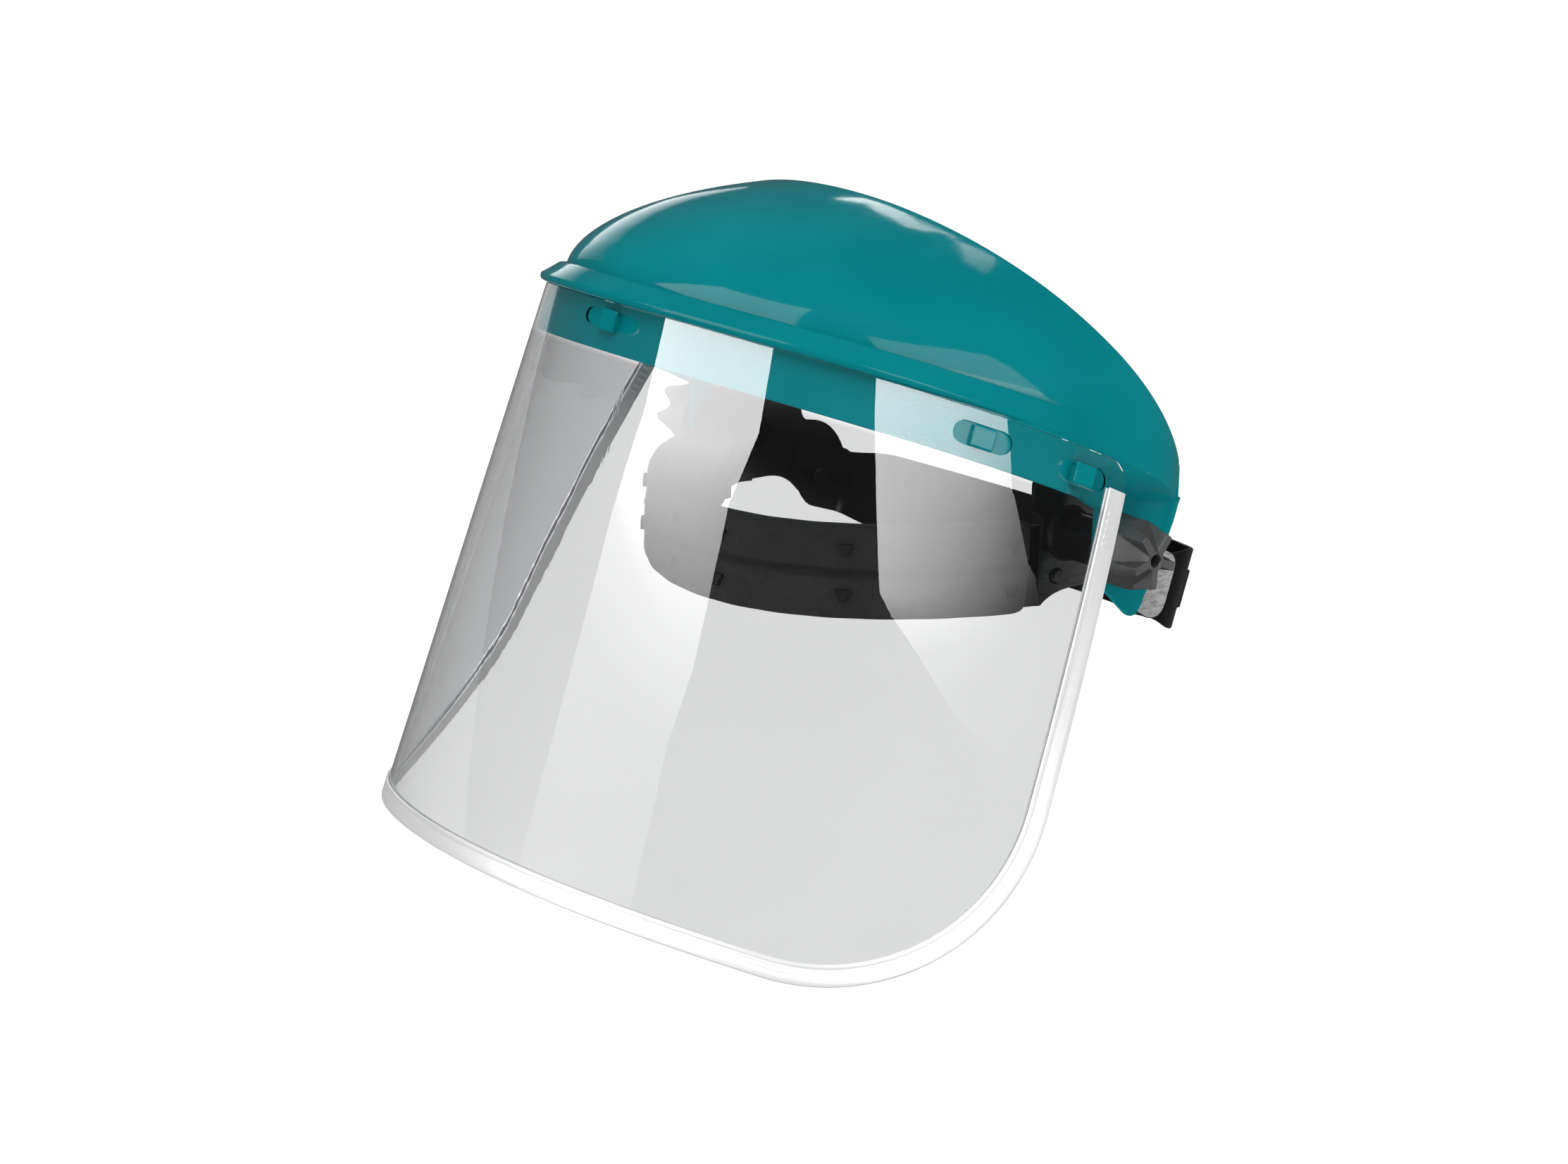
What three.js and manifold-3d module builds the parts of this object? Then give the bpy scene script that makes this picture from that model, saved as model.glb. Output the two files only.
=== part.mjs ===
// Face shield: a browguard with a clear visor in an edge binding, turning on two
// knobbed temple pivots on a headgear with a sweatband, crown straps and a nape strap.
// Millimetres, +Z up. The wearer faces -Y, and the wearer's left is +X.
// The origin is the midpoint of the temple pivot axis, which runs along X.

import * as THREE from 'three';
import { mergeVertices } from 'three/addons/utils/BufferGeometryUtils.js';
import Module from 'manifold-3d';

const wasm = await Module();
wasm.setup();

const DEGREE = Math.PI / 180;
const GAP = 0.3;

// Visor: a flat rectangular sheet wrapped onto a cone that flares downwards.
const VISOR_WIDTH = 400;
const VISOR_TOP = 2;
const VISOR_BOTTOM = 200;
const VISOR_THICKNESS = 1.0;
const VISOR_TOP_CORNER = 8;
const VISOR_BOTTOM_CORNER = 77;
const CONE_FLARE = 15 * DEGREE;
const CONE_TOP_RADIUS = 116.8;
const CONE_Y = -14;
const CONE_Z = 75;
const VISOR_COLUMN = 3 * DEGREE;

// Slots in the visor's top edge and the hooks of the browguard that they hang on.
const SLOT_HEIGHT = 8;
const SLOTS = [
  { across: -182, down: 11, length: 19 },
  { across: -143, down: 10.5, length: 21 },
  { across: 0, down: 8, length: 30 },
  { across: 143, down: 10.5, length: 21 },
  { across: 182, down: 11, length: 19 },
];
const HOOK_LENGTH = 8;
const HOOK_HEIGHT = 4.4;
const HOOK_HEAD = 2;

// Edge binding: a folded aluminium channel along both sides and the bottom.
const BINDING_DEPTH = 8;
const BINDING_WALL = 0.6;
const BINDING_START = 12;
const BINDING_STEP = 8;

// Browguard shell.
const SHELL_WALL = 2.2;
const BAND_HEIGHT = 19.2;
const LIP_DEPTH = 3.0;
const LIP_HEIGHT = 4.2;
const LIP_DROP = 1.2;
const DOME_INSET = 4.5;
const DOME_TOP = 109;
const SHELL_END = 110.3 * DEGREE;
const RIM_REAR = { y: 29, z: 27 };
const RIM_FRONT = { y: -35, z: 106.5 };
const EAR_X = 115;
const EAR_FLAT_TOP = 13;
const BOSS_RADIUS = 8.5;
const PIVOT_BORE = 3.4;

// Headgear.
const STRAP = 1.6;
const FRONT_HALF_WIDTH = 89;
const FRONT_DEPTH = 93;
const FRONT_Y = 3;
const FRONT_LOW = -25.6;
const FRONT_HIGH = 3.3;
const FRONT_DROP = 5.5;
const FRONT_END_Y = -8;
const SIDE_X = 90.1;
const LUG_RADIUS = 9;
const RIVET_RADIUS = 1.5;
const RIVET_AT = { y: -4, z: -15 };
const NAPE_X = 88.2;
const NAPE_TILT = 15.3 * DEGREE;
const NAPE_ARM_START = 26;
const NAPE_ARM_END = 52;
const NAPE_REAR = 104;
const NAPE_MIDDLE = -11.1;
const NAPE_ARM_HALF = 12;
const NAPE_ARM_ROUNDING = 8;
const NAPE_REAR_HALF = 15;
const SIZE_PEG_AT = 40;
const SIZE_PEG_UP = -10.7;
const SIZE_FORWARD = 14;
const SIZE_BACK = 8;
const CROWN_WIDTH = 15;
const CROWN_TOP = 73;
const CROWN_FOOT = { y: 19, z: 8 };
const CROWN_LEAN = 0.1;

// Pivot hardware, along X.
const BOLT_RADIUS = 3.0;
const BOLT_HEAD_RADIUS = 7;
const BOLT_HEAD = 4;
const BOLT_TIP_X = 129;
const WASHER = 0.9;
const WASHER_X = EAR_X - SHELL_WALL - 0.3 - WASHER;
const KNOB_FLANGE_X = 115.5;
const KNOB_FACE_X = 135.6;
const KNOB_RADIUS = 12.3;
const KNOB_LOBES = 5;
const ROUND = 24;

const TEAL = { color: 0x067880, roughness: 0.16, metalness: 0 };
const CLEAR = { color: 0xe6e9ea, roughness: 0.04, metalness: 0, transparent: true, opacity: 0.3 };
const ALUMINIUM = { color: 0xe4e5e6, roughness: 0.32, metalness: 1 };
const STRAP_BLACK = { color: 0x141414, roughness: 0.4, metalness: 0 };
const PAD_GREY = { color: 0x2f2f30, roughness: 0.75, metalness: 0 };
const KNOB_BLACK = { color: 0x343436, roughness: 0.42, metalness: 0 };
const STEEL = { color: 0xb4b4b2, roughness: 0.3, metalness: 1 };

const model = new THREE.Group();

function addPiece(name, geometry, finish) {
  const mesh = new THREE.Mesh(geometry, new THREE.MeshStandardMaterial(finish));
  mesh.name = name;
  model.add(mesh);
}

// --- Solids -----------------------------------------------------------------

function closedGeometry(points, triangles) {
  let volume = 0;
  for (const [a, b, c] of triangles) {
    volume += points[a].dot(new THREE.Vector3().crossVectors(points[b], points[c]));
  }
  const facing = volume < 0 ? triangles.map(([a, b, c]) => [a, c, b]) : triangles;
  const geometry = new THREE.BufferGeometry();
  const coordinates = points.flatMap((point) => point.toArray());
  geometry.setAttribute('position', new THREE.Float32BufferAttribute(coordinates, 3));
  geometry.setIndex(facing.flat());
  return geometry;
}

function capTriangles(outline, first, reversed) {
  const clockwise = THREE.ShapeUtils.area(outline) < 0;
  return THREE.ShapeUtils.triangulateShape(outline, []).map(([a, b, c]) => {
    const turned = THREE.ShapeUtils.area([outline[a], outline[b], outline[c]]) < 0;
    const keep = (turned === clockwise) !== reversed;
    return keep ? [first + a, first + b, first + c] : [first + a, first + c, first + b];
  });
}

// Joins rings of matching points into one closed body. The two outlines are the
// end rings drawn flat, and they only say how the ends are filled.
function loft(rings, firstOutline, lastOutline) {
  const count = rings[0].length;
  const triangles = [];
  for (let i = 0; i < rings.length - 1; i += 1) {
    for (let j = 0; j < count; j += 1) {
      const next = (j + 1) % count;
      const a = i * count + j;
      const b = i * count + next;
      triangles.push([a, b, b + count], [a, b + count, a + count]);
    }
  }
  triangles.push(...capTriangles(firstOutline, 0, true));
  triangles.push(...capTriangles(lastOutline, (rings.length - 1) * count, false));
  return closedGeometry(rings.flat(), triangles);
}

function toSolid(geometry) {
  const bare = geometry.clone();
  for (const name of Object.keys(bare.attributes)) {
    if (name !== 'position') bare.deleteAttribute(name);
  }
  const merged = mergeVertices(bare, 1e-4);
  return new wasm.Manifold(new wasm.Mesh({
    numProp: 3,
    vertProperties: new Float32Array(merged.attributes.position.array),
    triVerts: new Uint32Array(merged.index.array),
  }));
}

function toGeometry(solid) {
  const mesh = solid.getMesh();
  const geometry = new THREE.BufferGeometry();
  geometry.setAttribute('position', new THREE.BufferAttribute(mesh.vertProperties, 3));
  geometry.setIndex(new THREE.BufferAttribute(mesh.triVerts, 1));
  return geometry;
}

function cut(geometry, tools) {
  let solid = toSolid(geometry);
  for (const tool of tools) solid = solid.subtract(toSolid(tool));
  return toGeometry(solid);
}

function join(geometries) {
  let solid = toSolid(geometries[0]);
  for (const other of geometries.slice(1)) solid = solid.add(toSolid(other));
  return toGeometry(solid);
}

// A lathe about the X axis: profile points are [radius, x], in a closed loop.
function turned(profile, segments = ROUND) {
  const points = profile.map(([radius, x]) => new THREE.Vector2(radius, x));
  const geometry = new THREE.LatheGeometry([...points, points[0]], segments);
  geometry.rotateZ(-Math.PI / 2);
  return geometry;
}

function rodAlongX(radius, from, to, y = 0, z = 0) {
  const geometry = new THREE.CylinderGeometry(radius, radius, to - from, ROUND);
  geometry.rotateZ(Math.PI / 2);
  geometry.translate((from + to) / 2, y, z);
  return geometry;
}

// A flat plate drawn in the side view (Y across, Z up) and given a thickness along X.
function sidePlate(shape, from, thickness) {
  const geometry = new THREE.ExtrudeGeometry(shape, {
    depth: thickness,
    bevelEnabled: false,
    curveSegments: 6,
  });
  const axes = new THREE.Matrix4().makeBasis(
    new THREE.Vector3(0, 1, 0),
    new THREE.Vector3(0, 0, 1),
    new THREE.Vector3(1, 0, 0),
  );
  geometry.applyMatrix4(axes);
  geometry.translate(from, 0, 0);
  return geometry;
}

// The same piece for the wearer's right side.
function mirrored(geometry) {
  const copy = geometry.clone();
  copy.scale(-1, 1, 1);
  const count = copy.attributes.position.count;
  const index = copy.index ? Array.from(copy.index.array) : Array.from({ length: count }, (_, i) => i);
  for (let i = 0; i < index.length; i += 3) {
    [index[i + 1], index[i + 2]] = [index[i + 2], index[i + 1]];
  }
  copy.setIndex(index);
  return copy;
}

function addPair(name, geometry, finish) {
  addPiece(`${name}_left`, geometry, finish);
  addPiece(`${name}_right`, mirrored(geometry), finish);
}

function smoothStep(value, from, to) {
  return THREE.MathUtils.smoothstep(value, from, to);
}

// --- The visor's cone ---------------------------------------------------------

const APEX_TO_TOP = CONE_TOP_RADIUS / Math.sin(CONE_FLARE);

// A point of the flat sheet, across from its middle and down from its top edge,
// wrapped onto the cone and moved out along the cone's normal.
function onCone(across, down, out = 0) {
  const slant = Math.hypot(APEX_TO_TOP + down, across);
  const turn = Math.atan2(across, APEX_TO_TOP + down) / Math.sin(CONE_FLARE);
  const radius = slant * Math.sin(CONE_FLARE) + out * Math.cos(CONE_FLARE);
  return new THREE.Vector3(
    radius * Math.sin(turn),
    CONE_Y - radius * Math.cos(turn),
    CONE_Z - (slant - APEX_TO_TOP) * Math.cos(CONE_FLARE) + out * Math.sin(CONE_FLARE),
  );
}

// Half of the sheet's outline, from the middle of its top edge round to the middle
// of its bottom edge.
function sheetOutline() {
  const side = VISOR_WIDTH / 2;
  const low = -VISOR_BOTTOM;
  const corner = VISOR_TOP_CORNER;
  const bottom = VISOR_BOTTOM_CORNER;
  const outline = new THREE.Path();
  outline.moveTo(0, -VISOR_TOP);
  outline.lineTo(side - corner, -VISOR_TOP);
  outline.absarc(side - corner, -VISOR_TOP - corner, corner, Math.PI / 2, 0, true);
  outline.lineTo(side, low + bottom);
  outline.absarc(side - bottom, low + bottom, bottom, 0, -Math.PI / 2, true);
  outline.lineTo(0, low);
  return outline;
}

// Where a straight line of the cone enters and leaves the sheet's outline.
function crossings(outline, turn) {
  const lean = Math.tan(turn * Math.sin(CONE_FLARE));
  const found = [];
  for (let i = 0; i < outline.length - 1; i += 1) {
    const a = outline[i];
    const b = outline[i + 1];
    const fromA = a.x - lean * (APEX_TO_TOP - a.y);
    const fromB = b.x - lean * (APEX_TO_TOP - b.y);
    if ((fromA <= 0) !== (fromB <= 0)) {
      const share = fromA / (fromA - fromB);
      found.push(new THREE.Vector2().lerpVectors(a, b, share));
    }
  }
  return [found[0], found[found.length - 1]];
}

function slotTool(slot) {
  const radius = SLOT_HEIGHT / 2;
  const half = slot.length / 2 - radius;
  const shape = new THREE.Shape();
  shape.absarc(half, 0, radius, -Math.PI / 2, Math.PI / 2, false);
  shape.absarc(-half, 0, radius, Math.PI / 2, -Math.PI / 2, false);
  const geometry = new THREE.ExtrudeGeometry(shape, {
    depth: 12,
    bevelEnabled: false,
    curveSegments: 6,
  });
  geometry.translate(0, 0, -6);
  return placedOnCone(geometry, slot.across, slot.down);
}

// Turns a piece drawn with X across and Y up so that it faces out of the cone.
function placedOnCone(geometry, across, down) {
  const centre = onCone(across, down);
  const right = onCone(across + 1, down).sub(onCone(across - 1, down)).normalize();
  const outward = onCone(across, down, 1).sub(centre).normalize();
  const up = new THREE.Vector3().crossVectors(outward, right);
  geometry.applyMatrix4(new THREE.Matrix4().makeBasis(right, up, outward).setPosition(centre));
  return geometry;
}

function visorSheet() {
  const outline = sheetOutline().getPoints(24);
  const half = VISOR_THICKNESS / 2;
  const lastTurn = Math.atan2(VISOR_WIDTH / 2 - 1.5, APEX_TO_TOP + 7) / Math.sin(CONE_FLARE);
  const columns = Math.ceil(lastTurn / VISOR_COLUMN);
  const rings = [];
  let flat = null;
  for (let i = -columns; i <= columns; i += 1) {
    const turn = (lastTurn * i) / columns;
    const [enter, leave] = crossings(outline, Math.max(Math.abs(turn), 1e-5));
    const sign = turn < 0 ? -1 : 1;
    const corners = [[enter, half], [leave, half], [leave, -half], [enter, -half]];
    rings.push(corners.map(([at, out]) => onCone(sign * at.x, -at.y, out)));
    flat = corners.map(([at, out]) => new THREE.Vector2(out, at.y));
  }
  return cut(loft(rings, flat, flat), SLOTS.map(slotTool));
}

// --- Edge binding ---------------------------------------------------------------

function bindingChannel() {
  const inner = VISOR_THICKNESS / 2 + GAP;
  const outer = inner + BINDING_WALL;
  const floor = -0.35;
  const section = [
    [floor - BINDING_WALL, -outer],
    [floor - BINDING_WALL, outer],
    [BINDING_DEPTH - 1, outer],
    [BINDING_DEPTH - 1, inner],
    [floor, inner],
    [floor, -inner],
    [BINDING_DEPTH - 1, -inner],
    [BINDING_DEPTH - 1, -outer],
  ];
  const side = VISOR_WIDTH / 2;
  const straight = VISOR_BOTTOM - VISOR_BOTTOM_CORNER;
  const path = new THREE.Path();
  path.moveTo(-side, -BINDING_START);
  path.lineTo(-side, -straight);
  path.absarc(-side + VISOR_BOTTOM_CORNER, -straight, VISOR_BOTTOM_CORNER, Math.PI, 1.5 * Math.PI);
  path.lineTo(side - VISOR_BOTTOM_CORNER, -VISOR_BOTTOM);
  path.absarc(side - VISOR_BOTTOM_CORNER, -straight, VISOR_BOTTOM_CORNER, -Math.PI / 2, 0);
  path.lineTo(side, -BINDING_START);
  const steps = Math.round(path.getLength() / BINDING_STEP);
  const rings = [];
  for (let i = 0; i <= steps; i += 1) {
    const at = path.getPointAt(i / steps);
    const along = path.getTangentAt(i / steps);
    rings.push(section.map(([inward, out]) => (
      onCone(at.x - along.y * inward, -(at.y + along.x * inward), out)
    )));
  }
  const flat = section.map(([inward, out]) => new THREE.Vector2(inward, out));
  return loft(rings, flat, flat);
}

// --- Browguard shell --------------------------------------------------------------

// The lower edge of the ear in the side view, from its front edge round the tip to the back.
function earOutline() {
  const edge = new THREE.Path();
  edge.moveTo(-9.5, 12.4);
  edge.quadraticCurveTo(-9.4, -7, -6, -12);
  edge.lineTo(7, -23.2);
  edge.quadraticCurveTo(12.5, -28.5, 15, -22.5);
  edge.lineTo(24, 0);
  edge.quadraticCurveTo(27.6, 8, 28.2, 13.5);
  return edge.getPoints(4);
}

const EAR_EDGE = earOutline();

function topRadius(turn) {
  return CONE_TOP_RADIUS / Math.cos(turn * Math.sin(CONE_FLARE));
}

function topHeight(turn) {
  return CONE_Z - (topRadius(turn) - CONE_TOP_RADIUS) / Math.tan(CONE_FLARE);
}

// The dome's footprint: inside the visor's top edge in front, drawn in behind the ears.
function domeRadius(turn) {
  const degrees = Math.abs(turn) / DEGREE;
  const inset = DOME_INSET * (1 - smoothStep(degrees, 62, 90)) + 0.9;
  const drawnIn = degrees > 95 ? 9.5 * ((degrees - 95) / 15.5) ** 1.7 : 0;
  return topRadius(turn) - inset - drawnIn;
}

function earTurn(point) {
  return Math.atan2(EAR_X, -(point.x - CONE_Y));
}

// Height of the shell's lower edge at a given turn about the cone's axis.
function lowerEdge(turn) {
  const size = Math.abs(turn);
  if (size <= earTurn(EAR_EDGE[0])) {
    const slant = (APEX_TO_TOP + BAND_HEIGHT) / Math.cos(size * Math.sin(CONE_FLARE));
    return CONE_Z - (slant - APEX_TO_TOP) * Math.cos(CONE_FLARE);
  }
  for (let i = 0; i < EAR_EDGE.length - 1; i += 1) {
    const from = earTurn(EAR_EDGE[i]);
    const to = earTurn(EAR_EDGE[i + 1]);
    if (size <= to) {
      const share = (size - from) / (to - from);
      return EAR_EDGE[i].y + share * (EAR_EDGE[i + 1].y - EAR_EDGE[i].y);
    }
  }
  return EAR_EDGE[EAR_EDGE.length - 1].y;
}

// Radius of the outer face below the dome: the cone under the visor, blending into
// ears that are flat where the pivots are.
function lowerRadius(turn, z) {
  const size = Math.abs(turn);
  const degrees = size / DEGREE;
  const cone = CONE_TOP_RADIUS + (CONE_Z - z) * Math.tan(CONE_FLARE) - 0.9;
  const foot = topHeight(turn);
  const lift = smoothStep(z, EAR_FLAT_TOP, Math.max(foot, EAR_FLAT_TOP + 0.5));
  const flare = (domeRadius(turn) * Math.sin(size) - EAR_X) * lift;
  const ear = (EAR_X + flare) / Math.max(Math.sin(size), 0.2);
  const towardsEar = smoothStep(degrees, 78, 89.5);
  return cone * (1 - towardsEar) + ear * towardsEar;
}

function domePoint(turn, rise, wall) {
  const foot = topHeight(turn) + LIP_HEIGHT * 0.5;
  return {
    radius: (domeRadius(turn) - wall) * Math.cos(rise),
    z: foot + (DOME_TOP - wall - foot) * Math.sin(rise),
  };
}

// The rise at which the dome meets the slanting plane of the rear rim.
function rimRise(turn, wall) {
  let low = 0;
  let high = Math.PI / 2;
  for (let i = 0; i < 40; i += 1) {
    const middle = (low + high) / 2;
    const { radius, z } = domePoint(turn, middle, wall);
    const y = CONE_Y - radius * Math.cos(turn);
    const share = (RIM_REAR.y - y) / (RIM_REAR.y - RIM_FRONT.y);
    const plane = RIM_REAR.z + share * (RIM_FRONT.z - RIM_REAR.z);
    if (z < plane) low = middle;
    else high = middle;
  }
  return (low + high) / 2;
}

function shellSection(turn) {
  const degrees = Math.abs(turn) / DEGREE;
  const low = lowerEdge(turn);
  const foot = topHeight(turn) - LIP_DROP;
  const shoulder = Math.max(foot, low + 1.5);
  const lipShare = 1 - smoothStep(degrees, 48, 78);
  const lipHeight = 1.2 + (LIP_HEIGHT - 1.2) * lipShare;
  const section = [];
  const flat = degrees > 84 && shoulder > EAR_FLAT_TOP + 1;
  const bend = flat ? Math.max(EAR_FLAT_TOP, low + 0.6) : low + (shoulder - low) * 0.4;
  const levels = [0, 0.5, 1].map((share) => low + (bend - low) * share);
  for (const share of [0.33, 0.67, 1]) levels.push(bend + (shoulder - bend) * share);
  for (const z of levels) section.push([lowerRadius(turn, z), z]);
  const edge = lowerRadius(turn, shoulder);
  section.push([edge + (LIP_DEPTH + 0.9) * lipShare, shoulder + 0.3]);
  section.push([edge + (LIP_DEPTH + 0.7) * lipShare, shoulder + 0.3 + lipHeight * 0.75]);
  const domeSteps = 7;
  const outerRim = Math.max(rimRise(turn, 0), 0.12);
  for (let i = 0; i <= domeSteps; i += 1) {
    const rise = 0.1 + ((outerRim - 0.1) * i) / domeSteps;
    const { radius, z } = domePoint(turn, rise, 0);
    section.push([radius, Math.max(z, shoulder + 0.3 + lipHeight + i * 0.3)]);
  }
  const innerRim = Math.max(rimRise(turn, SHELL_WALL), 0.1);
  for (let i = domeSteps - 2; i >= 0; i -= 1) {
    const rise = 0.08 + ((innerRim - 0.08) * i) / (domeSteps - 2);
    const { radius, z } = domePoint(turn, rise, SHELL_WALL);
    section.push([radius, Math.max(z, shoulder + 0.6 + i * 0.3)]);
  }
  for (const z of levels.reverse()) section.push([lowerRadius(turn, z) - SHELL_WALL, z]);
  return section;
}

function browguardBody() {
  const turns = [];
  const earStart = earTurn(EAR_EDGE[0]);
  const frontSteps = 21;
  for (let i = 0; i <= frontSteps; i += 1) turns.push((earStart * i) / frontSteps);
  for (const point of EAR_EDGE.slice(1)) {
    const turn = earTurn(point);
    if (turn - turns[turns.length - 1] > 0.25 * DEGREE) turns.push(turn);
  }
  turns.push(SHELL_END);
  const all = [...turns.slice(1).reverse().map((turn) => -turn), ...turns];
  const sections = all.map(shellSection);
  const rings = sections.map((section, i) => section.map(([radius, z]) => new THREE.Vector3(
    radius * Math.sin(all[i]),
    CONE_Y - radius * Math.cos(all[i]),
    z,
  )));
  const flat = sections[0].map(([radius, z]) => new THREE.Vector2(radius, z));
  return loft(rings, flat, flat);
}

// A hook that a slot of the visor hangs on: a post with a head outside the sheet.
function visorHook(slot) {
  const post = new THREE.BoxGeometry(HOOK_LENGTH, HOOK_HEIGHT, 4.8);
  post.translate(0, 0, -1.5);
  const head = new THREE.BoxGeometry(HOOK_LENGTH, HOOK_HEIGHT + HOOK_HEAD, 0.9);
  head.translate(0, HOOK_HEAD / 2 - 0.4, 1.3);
  return placedOnCone(join([post, head]), slot.across, slot.down);
}

function browguardShell() {
  const body = join([browguardBody(), ...SLOTS.map(visorHook)]);
  return cut(body, [rodAlongX(PIVOT_BORE, -140, 140)]);
}

// --- Headgear -----------------------------------------------------------------------

// A point of the front band's middle surface, turned from straight ahead.
function onFrontBand(turn, out, z) {
  const across = FRONT_HALF_WIDTH * Math.sin(turn);
  const ahead = FRONT_DEPTH * Math.cos(turn);
  const normal = new THREE.Vector2(across / FRONT_HALF_WIDTH ** 2, ahead / FRONT_DEPTH ** 2).normalize();
  const drop = FRONT_DROP * Math.cos(turn) ** 2;
  return new THREE.Vector3(across + normal.x * out, FRONT_Y - ahead - normal.y * out, z - drop);
}

function bandSweep(section, lastTurn, steps) {
  const rings = [];
  for (let i = 0; i <= steps; i += 1) {
    const turn = -lastTurn + (2 * lastTurn * i) / steps;
    rings.push(section.map(([out, z]) => onFrontBand(turn, out, z)));
  }
  const flat = section.map(([out, z]) => new THREE.Vector2(out, z));
  return loft(rings, flat, flat);
}

function frontBand() {
  const half = STRAP / 2;
  const section = [[-half, FRONT_LOW], [half, FRONT_LOW], [half, FRONT_HIGH], [-half, FRONT_HIGH]];
  const strap = bandSweep(section, Math.acos((FRONT_Y - FRONT_END_Y) / FRONT_DEPTH), 36);
  const lug = new THREE.Shape();
  lug.moveTo(FRONT_END_Y - 2, -20);
  lug.lineTo(2.5, -20);
  lug.absarc(0, 0, LUG_RADIUS, -Math.acos(2.5 / LUG_RADIUS), Math.PI, false);
  lug.lineTo(FRONT_END_Y - 2, 0);
  const lugs = [-1, 1].map((side) => (
    sidePlate(lug, side * FRONT_HALF_WIDTH - half + 0.05, STRAP - 0.1)
  ));
  const rivetBore = rodAlongX(RIVET_RADIUS + GAP, -100, 100, RIVET_AT.y, RIVET_AT.z);
  return cut(join([strap, ...lugs]), [rodAlongX(PIVOT_BORE, -100, 100), rivetBore]);
}

// The padded sweatband is folded round the front band; its two edges meet in a seam
// halfway up the outside.
function sweatband() {
  const inner = STRAP / 2 + GAP;
  const flap = 1.8;
  const padding = 6.3;
  const seam = (FRONT_LOW + FRONT_HIGH) / 2;
  const low = FRONT_LOW - GAP;
  const high = FRONT_HIGH + GAP;
  const section = [
    [inner, seam + 0.8],
    [inner + flap, seam + 0.8],
    [inner + flap, high + 1.2],
    [inner + flap - 1, high + 2.2],
    [-inner - padding + 1.5, high + 2.2],
    [-inner - padding, high + 0.7],
    [-inner - padding, low - 0.7],
    [-inner - padding + 1.5, low - 2.2],
    [inner + flap - 1, low - 2.2],
    [inner + flap, low - 1.2],
    [inner + flap, seam - 0.8],
    [inner, seam - 0.8],
    [inner, low],
    [-inner, low],
    [-inner, high],
    [inner, high],
  ];
  const end = Math.acos((FRONT_Y + 14) / FRONT_DEPTH);
  return bandSweep(section, end, 30);
}

// Along and up in the tilted plane of the nape strap, to Y and Z.
function tilted(along, up) {
  return new THREE.Vector2(
    along * Math.cos(NAPE_TILT) + up * Math.sin(NAPE_TILT),
    -along * Math.sin(NAPE_TILT) + up * Math.cos(NAPE_TILT),
  );
}

function sideStrapShape() {
  const shape = new THREE.Shape();
  const point = (along, up) => tilted(along, up).toArray();
  shape.moveTo(-12.5, -25);
  shape.lineTo(-12.5, 7);
  shape.lineTo(-17, 8.8);
  shape.lineTo(-17.5, 18.5);
  shape.quadraticCurveTo(-17.4, 20.4, -15, 19.8);
  shape.lineTo(CROWN_FOOT.y - CROWN_WIDTH / 2, 12);
  shape.lineTo(CROWN_FOOT.y - CROWN_WIDTH / 2 + 0.4, 18);
  shape.lineTo(CROWN_FOOT.y + CROWN_WIDTH / 2 + 0.4, 18);
  shape.lineTo(CROWN_FOOT.y + CROWN_WIDTH / 2, 6);
  shape.quadraticCurveTo(27, 1, 32, 1);
  shape.quadraticCurveTo(43, 0.5, ...point(50.2, 1.8));
  shape.lineTo(...point(50.5, 1.8));
  shape.quadraticCurveTo(...point(57, 1.8), ...point(57, -5));
  shape.lineTo(...point(57, -16));
  shape.quadraticCurveTo(...point(57, -23.2), ...point(50, -23.2));
  shape.quadraticCurveTo(36, -33, 27, -26);
  shape.quadraticCurveTo(21, -19.5, 12, -19.5);
  shape.lineTo(4, -19.8);
  shape.quadraticCurveTo(-6, -20.5, -10.5, -25);
  return shape;
}

// One half of the crown strap, from the side strap up over the head past the middle.
function crownStrap(height) {
  const half = CROWN_WIDTH / 2;
  const middle = SIDE_X + STRAP / 2;
  const thickness = 0.7;
  const lastTurn = 106 * DEGREE;
  const steps = 18;
  const corners = [[-half, -thickness], [half, -thickness], [half, thickness], [-half, thickness]];
  const rings = [];
  for (let i = 0; i <= steps; i += 1) {
    const turn = (lastTurn * i) / steps;
    const rise = height - CROWN_FOOT.z;
    const x = middle * Math.cos(turn);
    const z = CROWN_FOOT.z + rise * Math.sin(turn);
    const outward = new THREE.Vector2(Math.cos(turn) / middle, Math.sin(turn) / rise).normalize();
    const y = CROWN_FOOT.y + CROWN_LEAN * (z - CROWN_FOOT.z);
    rings.push(corners.map(([across, out]) => (
      new THREE.Vector3(x + outward.x * out, y + across, z + outward.y * out)
    )));
  }
  const flat = corners.map(([across, out]) => new THREE.Vector2(across, out));
  return loft(rings, flat, flat);
}

function crownHoles() {
  const y = CROWN_FOOT.y + CROWN_LEAN * (CROWN_TOP - CROWN_FOOT.z);
  return [-16, -8, 0, 8, 16].map((x) => {
    const hole = new THREE.CylinderGeometry(2.2, 2.2, 20, 10);
    hole.rotateX(Math.PI / 2);
    hole.translate(x, y, CROWN_TOP - 2);
    return hole;
  });
}

function sideStrap(crownHeight) {
  const plate = sidePlate(sideStrapShape(), SIDE_X, STRAP);
  const boss = rodAlongX(BOSS_RADIUS, SIDE_X + STRAP / 2, WASHER_X - GAP);
  const bores = [
    rodAlongX(PIVOT_BORE, 80, 120),
    rodAlongX(2.3, 80, 100, ...tilted(SIZE_PEG_AT, SIZE_PEG_UP).toArray()),
    rodAlongX(RIVET_RADIUS + GAP, 80, 100, RIVET_AT.y, RIVET_AT.z),
  ];
  return cut(join([plate, boss, crownStrap(crownHeight)]), [...bores, ...crownHoles()]);
}

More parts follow.
